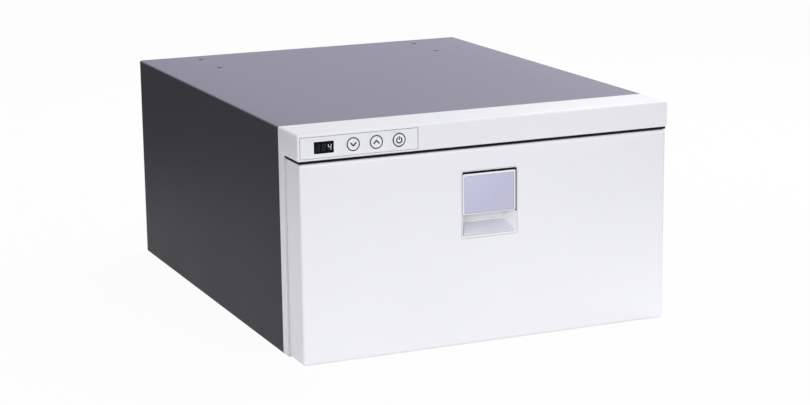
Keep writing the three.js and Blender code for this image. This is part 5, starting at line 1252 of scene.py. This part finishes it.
# ---------------------------------------------------------------- the object
cabinet_wrapper()
bezel()
shade_strip_under_header()
control_strip()
for key_name in KEYS:
    key(key_name)
key_marks()
display()
drawer_face()
latch_rim()
latch_housing()
scoop_plate()
flap()
latch_works()
door_seal()
food_basin()
for side_name, side_sign in SIDES.items():
    basin_rail(side_name, side_sign)
    telescopic_slide(side_name, side_sign)
cavity_liner()
cooling_plate()
compressor_pot()
condenser_pack()
pipework()
fan()
vent_panel()
lead_gland()
rear_screws = [(x, REAR_PANEL, z) for x in (-208, 0, 208) for z in (12, 238)]
rear_screws += [(x, REAR_PANEL, 125) for x in (-208, 208)]
screw_heads("rear_screws", rear_screws, "cabinet", radius=3.6, rise=1.6, outward=1)
keeper_screws = [(x, BEZEL_FACE, (KEEPER[2] + KEEPER[3]) / 2) for x in (-12.8, 12.8)]
screw_heads("keeper_screws", keeper_screws, "cabinet", radius=2.6, rise=0.9, outward=-1)
refined("drawer_inner_panel", "drawer", LINER, 0.8, segments=3)
refined("temperature_probe", "cabinet", BLACK_AND_GAP_SHADE, 0.4)
refined("compressor_controller", "cabinet", BLACK_AND_GAP_SHADE, 0.5)
refined("base_plate", "cabinet", ZINC, 0.2)
refined("control_board", "cabinet", BOARD, 0.15)

LEFT_AS_THEY_ARE = {"insulation_foam": FOAM, "drawer_front_foam": FOAM, "display_module": BLACK_AND_GAP_SHADE}
for node_name, finish in LEFT_AS_THEY_ARE.items():
    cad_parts[node_name].material_slots[0].material = finish


# ---------------------------------------------------------------- studio
def floor():
    """A pale table top. The camera sees it mostly as plain white, and it keeps a soft shadow. Its light
    reaches about a metre round the object, and falls away to a grey room, so that the object is
    lighter towards its foot."""
    mesh = bpy.data.meshes.new("studio_floor")
    reach = 9
    corners = [(-reach, -reach, 0), (reach, -reach, 0), (reach, reach, 0), (-reach, reach, 0)]
    mesh.from_pydata(corners, [], [(0, 1, 2, 3)])
    material, shader, place = start("studio_floor")
    tree = material.node_tree
    camera_ray, glance = looks_from(tree)
    away = place.node("ShaderNodeVectorMath", {"operation": "LENGTH"}, {0: place}, 1)
    table = 1 - away.after(500, 1050)
    pale = table.math("MAXIMUM", table, camera_ray)
    tone = pale.between((0.12, 0.12, 0.12, 1), (0.9, 0.9, 0.9, 1))
    coat(material, shader, {"Roughness": 0.9}, {"Base Color": tone})
    white = place.node("ShaderNodeEmission", {}, {"Color": (1, 1, 1, 1), "Strength": 1.0})
    seen = (camera_ray + glance * table) * 0.95
    mixed = place.node("ShaderNodeMixShader", {}, {0: seen, 1: Wire(tree, shader.outputs[0]), 2: white})
    tree.links.new(mixed.socket, tree.nodes["Material Output"].inputs["Surface"])
    mesh.materials.append(material)
    plane = bpy.data.objects.new("studio_floor", mesh)
    bpy.context.scene.collection.objects.link(plane)


def looks_from(tree):
    """Two wires: whether a ray comes from the camera, and whether it comes from metal or glass."""
    camera_ray = Wire(tree, None).node("ShaderNodeLightPath")
    asked = camera_ray.socket.node.outputs
    return camera_ray, Wire(tree, asked["Is Glossy Ray"]) + Wire(tree, asked["Is Transmission Ray"])


def surroundings():
    """The world: white where it is looked at, and a soft grey light elsewhere."""
    world = bpy.data.worlds.new("studio")
    bpy.context.scene.world = world
    world.use_nodes = True
    tree = world.node_tree
    tree.nodes.clear()
    camera_ray, glance = looks_from(tree)
    white = glance.node("ShaderNodeBackground", {}, {"Color": (1, 1, 1, 1), "Strength": 1.0})
    light = glance.node("ShaderNodeBackground", {}, {"Color": (0.97, 0.98, 1, 1), "Strength": 0.5})
    mixed = glance.node("ShaderNodeMixShader", {}, {0: camera_ray + glance, 1: light, 2: white})
    output = tree.nodes.new("ShaderNodeOutputWorld")
    tree.links.new(mixed.socket, output.inputs["Surface"])


def lamp(name, place, target, size, power):
    """A square soft lamp that faces a point."""
    light = bpy.data.lights.new(name, "AREA")
    light.size = size
    light.energy = power
    body = bpy.data.objects.new(name, light)
    bpy.context.scene.collection.objects.link(body)
    body.location = place
    body.rotation_euler = (Vector(target) - Vector(place)).to_track_quat("-Z", "Y").to_euler()


def camera(focal, yaw, pitch, roll, place):
    """The photograph's camera. The focal length is in pixels; yaw, pitch and roll are in degrees."""
    a, b, c = (math.radians(value) for value in (yaw, pitch, roll))
    ahead = Vector((math.sin(a) * math.cos(b), math.cos(a) * math.cos(b), -math.sin(b)))
    level = Vector((math.cos(a), -math.sin(a), 0))
    over = level.cross(ahead)
    right = level * math.cos(c) + over * math.sin(c)
    up = over * math.cos(c) - level * math.sin(c)
    data = bpy.data.cameras.new("photo_camera")
    data.sensor_fit = "HORIZONTAL"
    data.sensor_width = 36
    data.lens = focal / PIXELS_WIDE * data.sensor_width
    data.clip_start = 0.05
    eye = bpy.data.objects.new("photo_camera", data)
    bpy.context.scene.collection.objects.link(eye)
    turn = Matrix((right, up, -ahead)).transposed().to_4x4()
    eye.matrix_world = Matrix.Translation(Vector(place) * MM) @ turn
    bpy.context.scene.camera = eye


floor()
surroundings()
lamp("key_lamp", (0.9, -3.2, 1.3), target=(0, 0, 0.15), size=1.6, power=38)
lamp("fill_lamp", (-2.3, -2.4, 0.8), target=(0, 0, 0.12), size=1.4, power=29)
lamp("top_lamp", (1.0, 0.6, 1.45), target=(0, 0, 0.25), size=1.2, power=15)
camera(focal=2072.9, yaw=23.449, pitch=12.787, roll=-0.7, place=(-953, -2250, 653.9))
bpy.context.scene.view_settings.view_transform = "Standard"
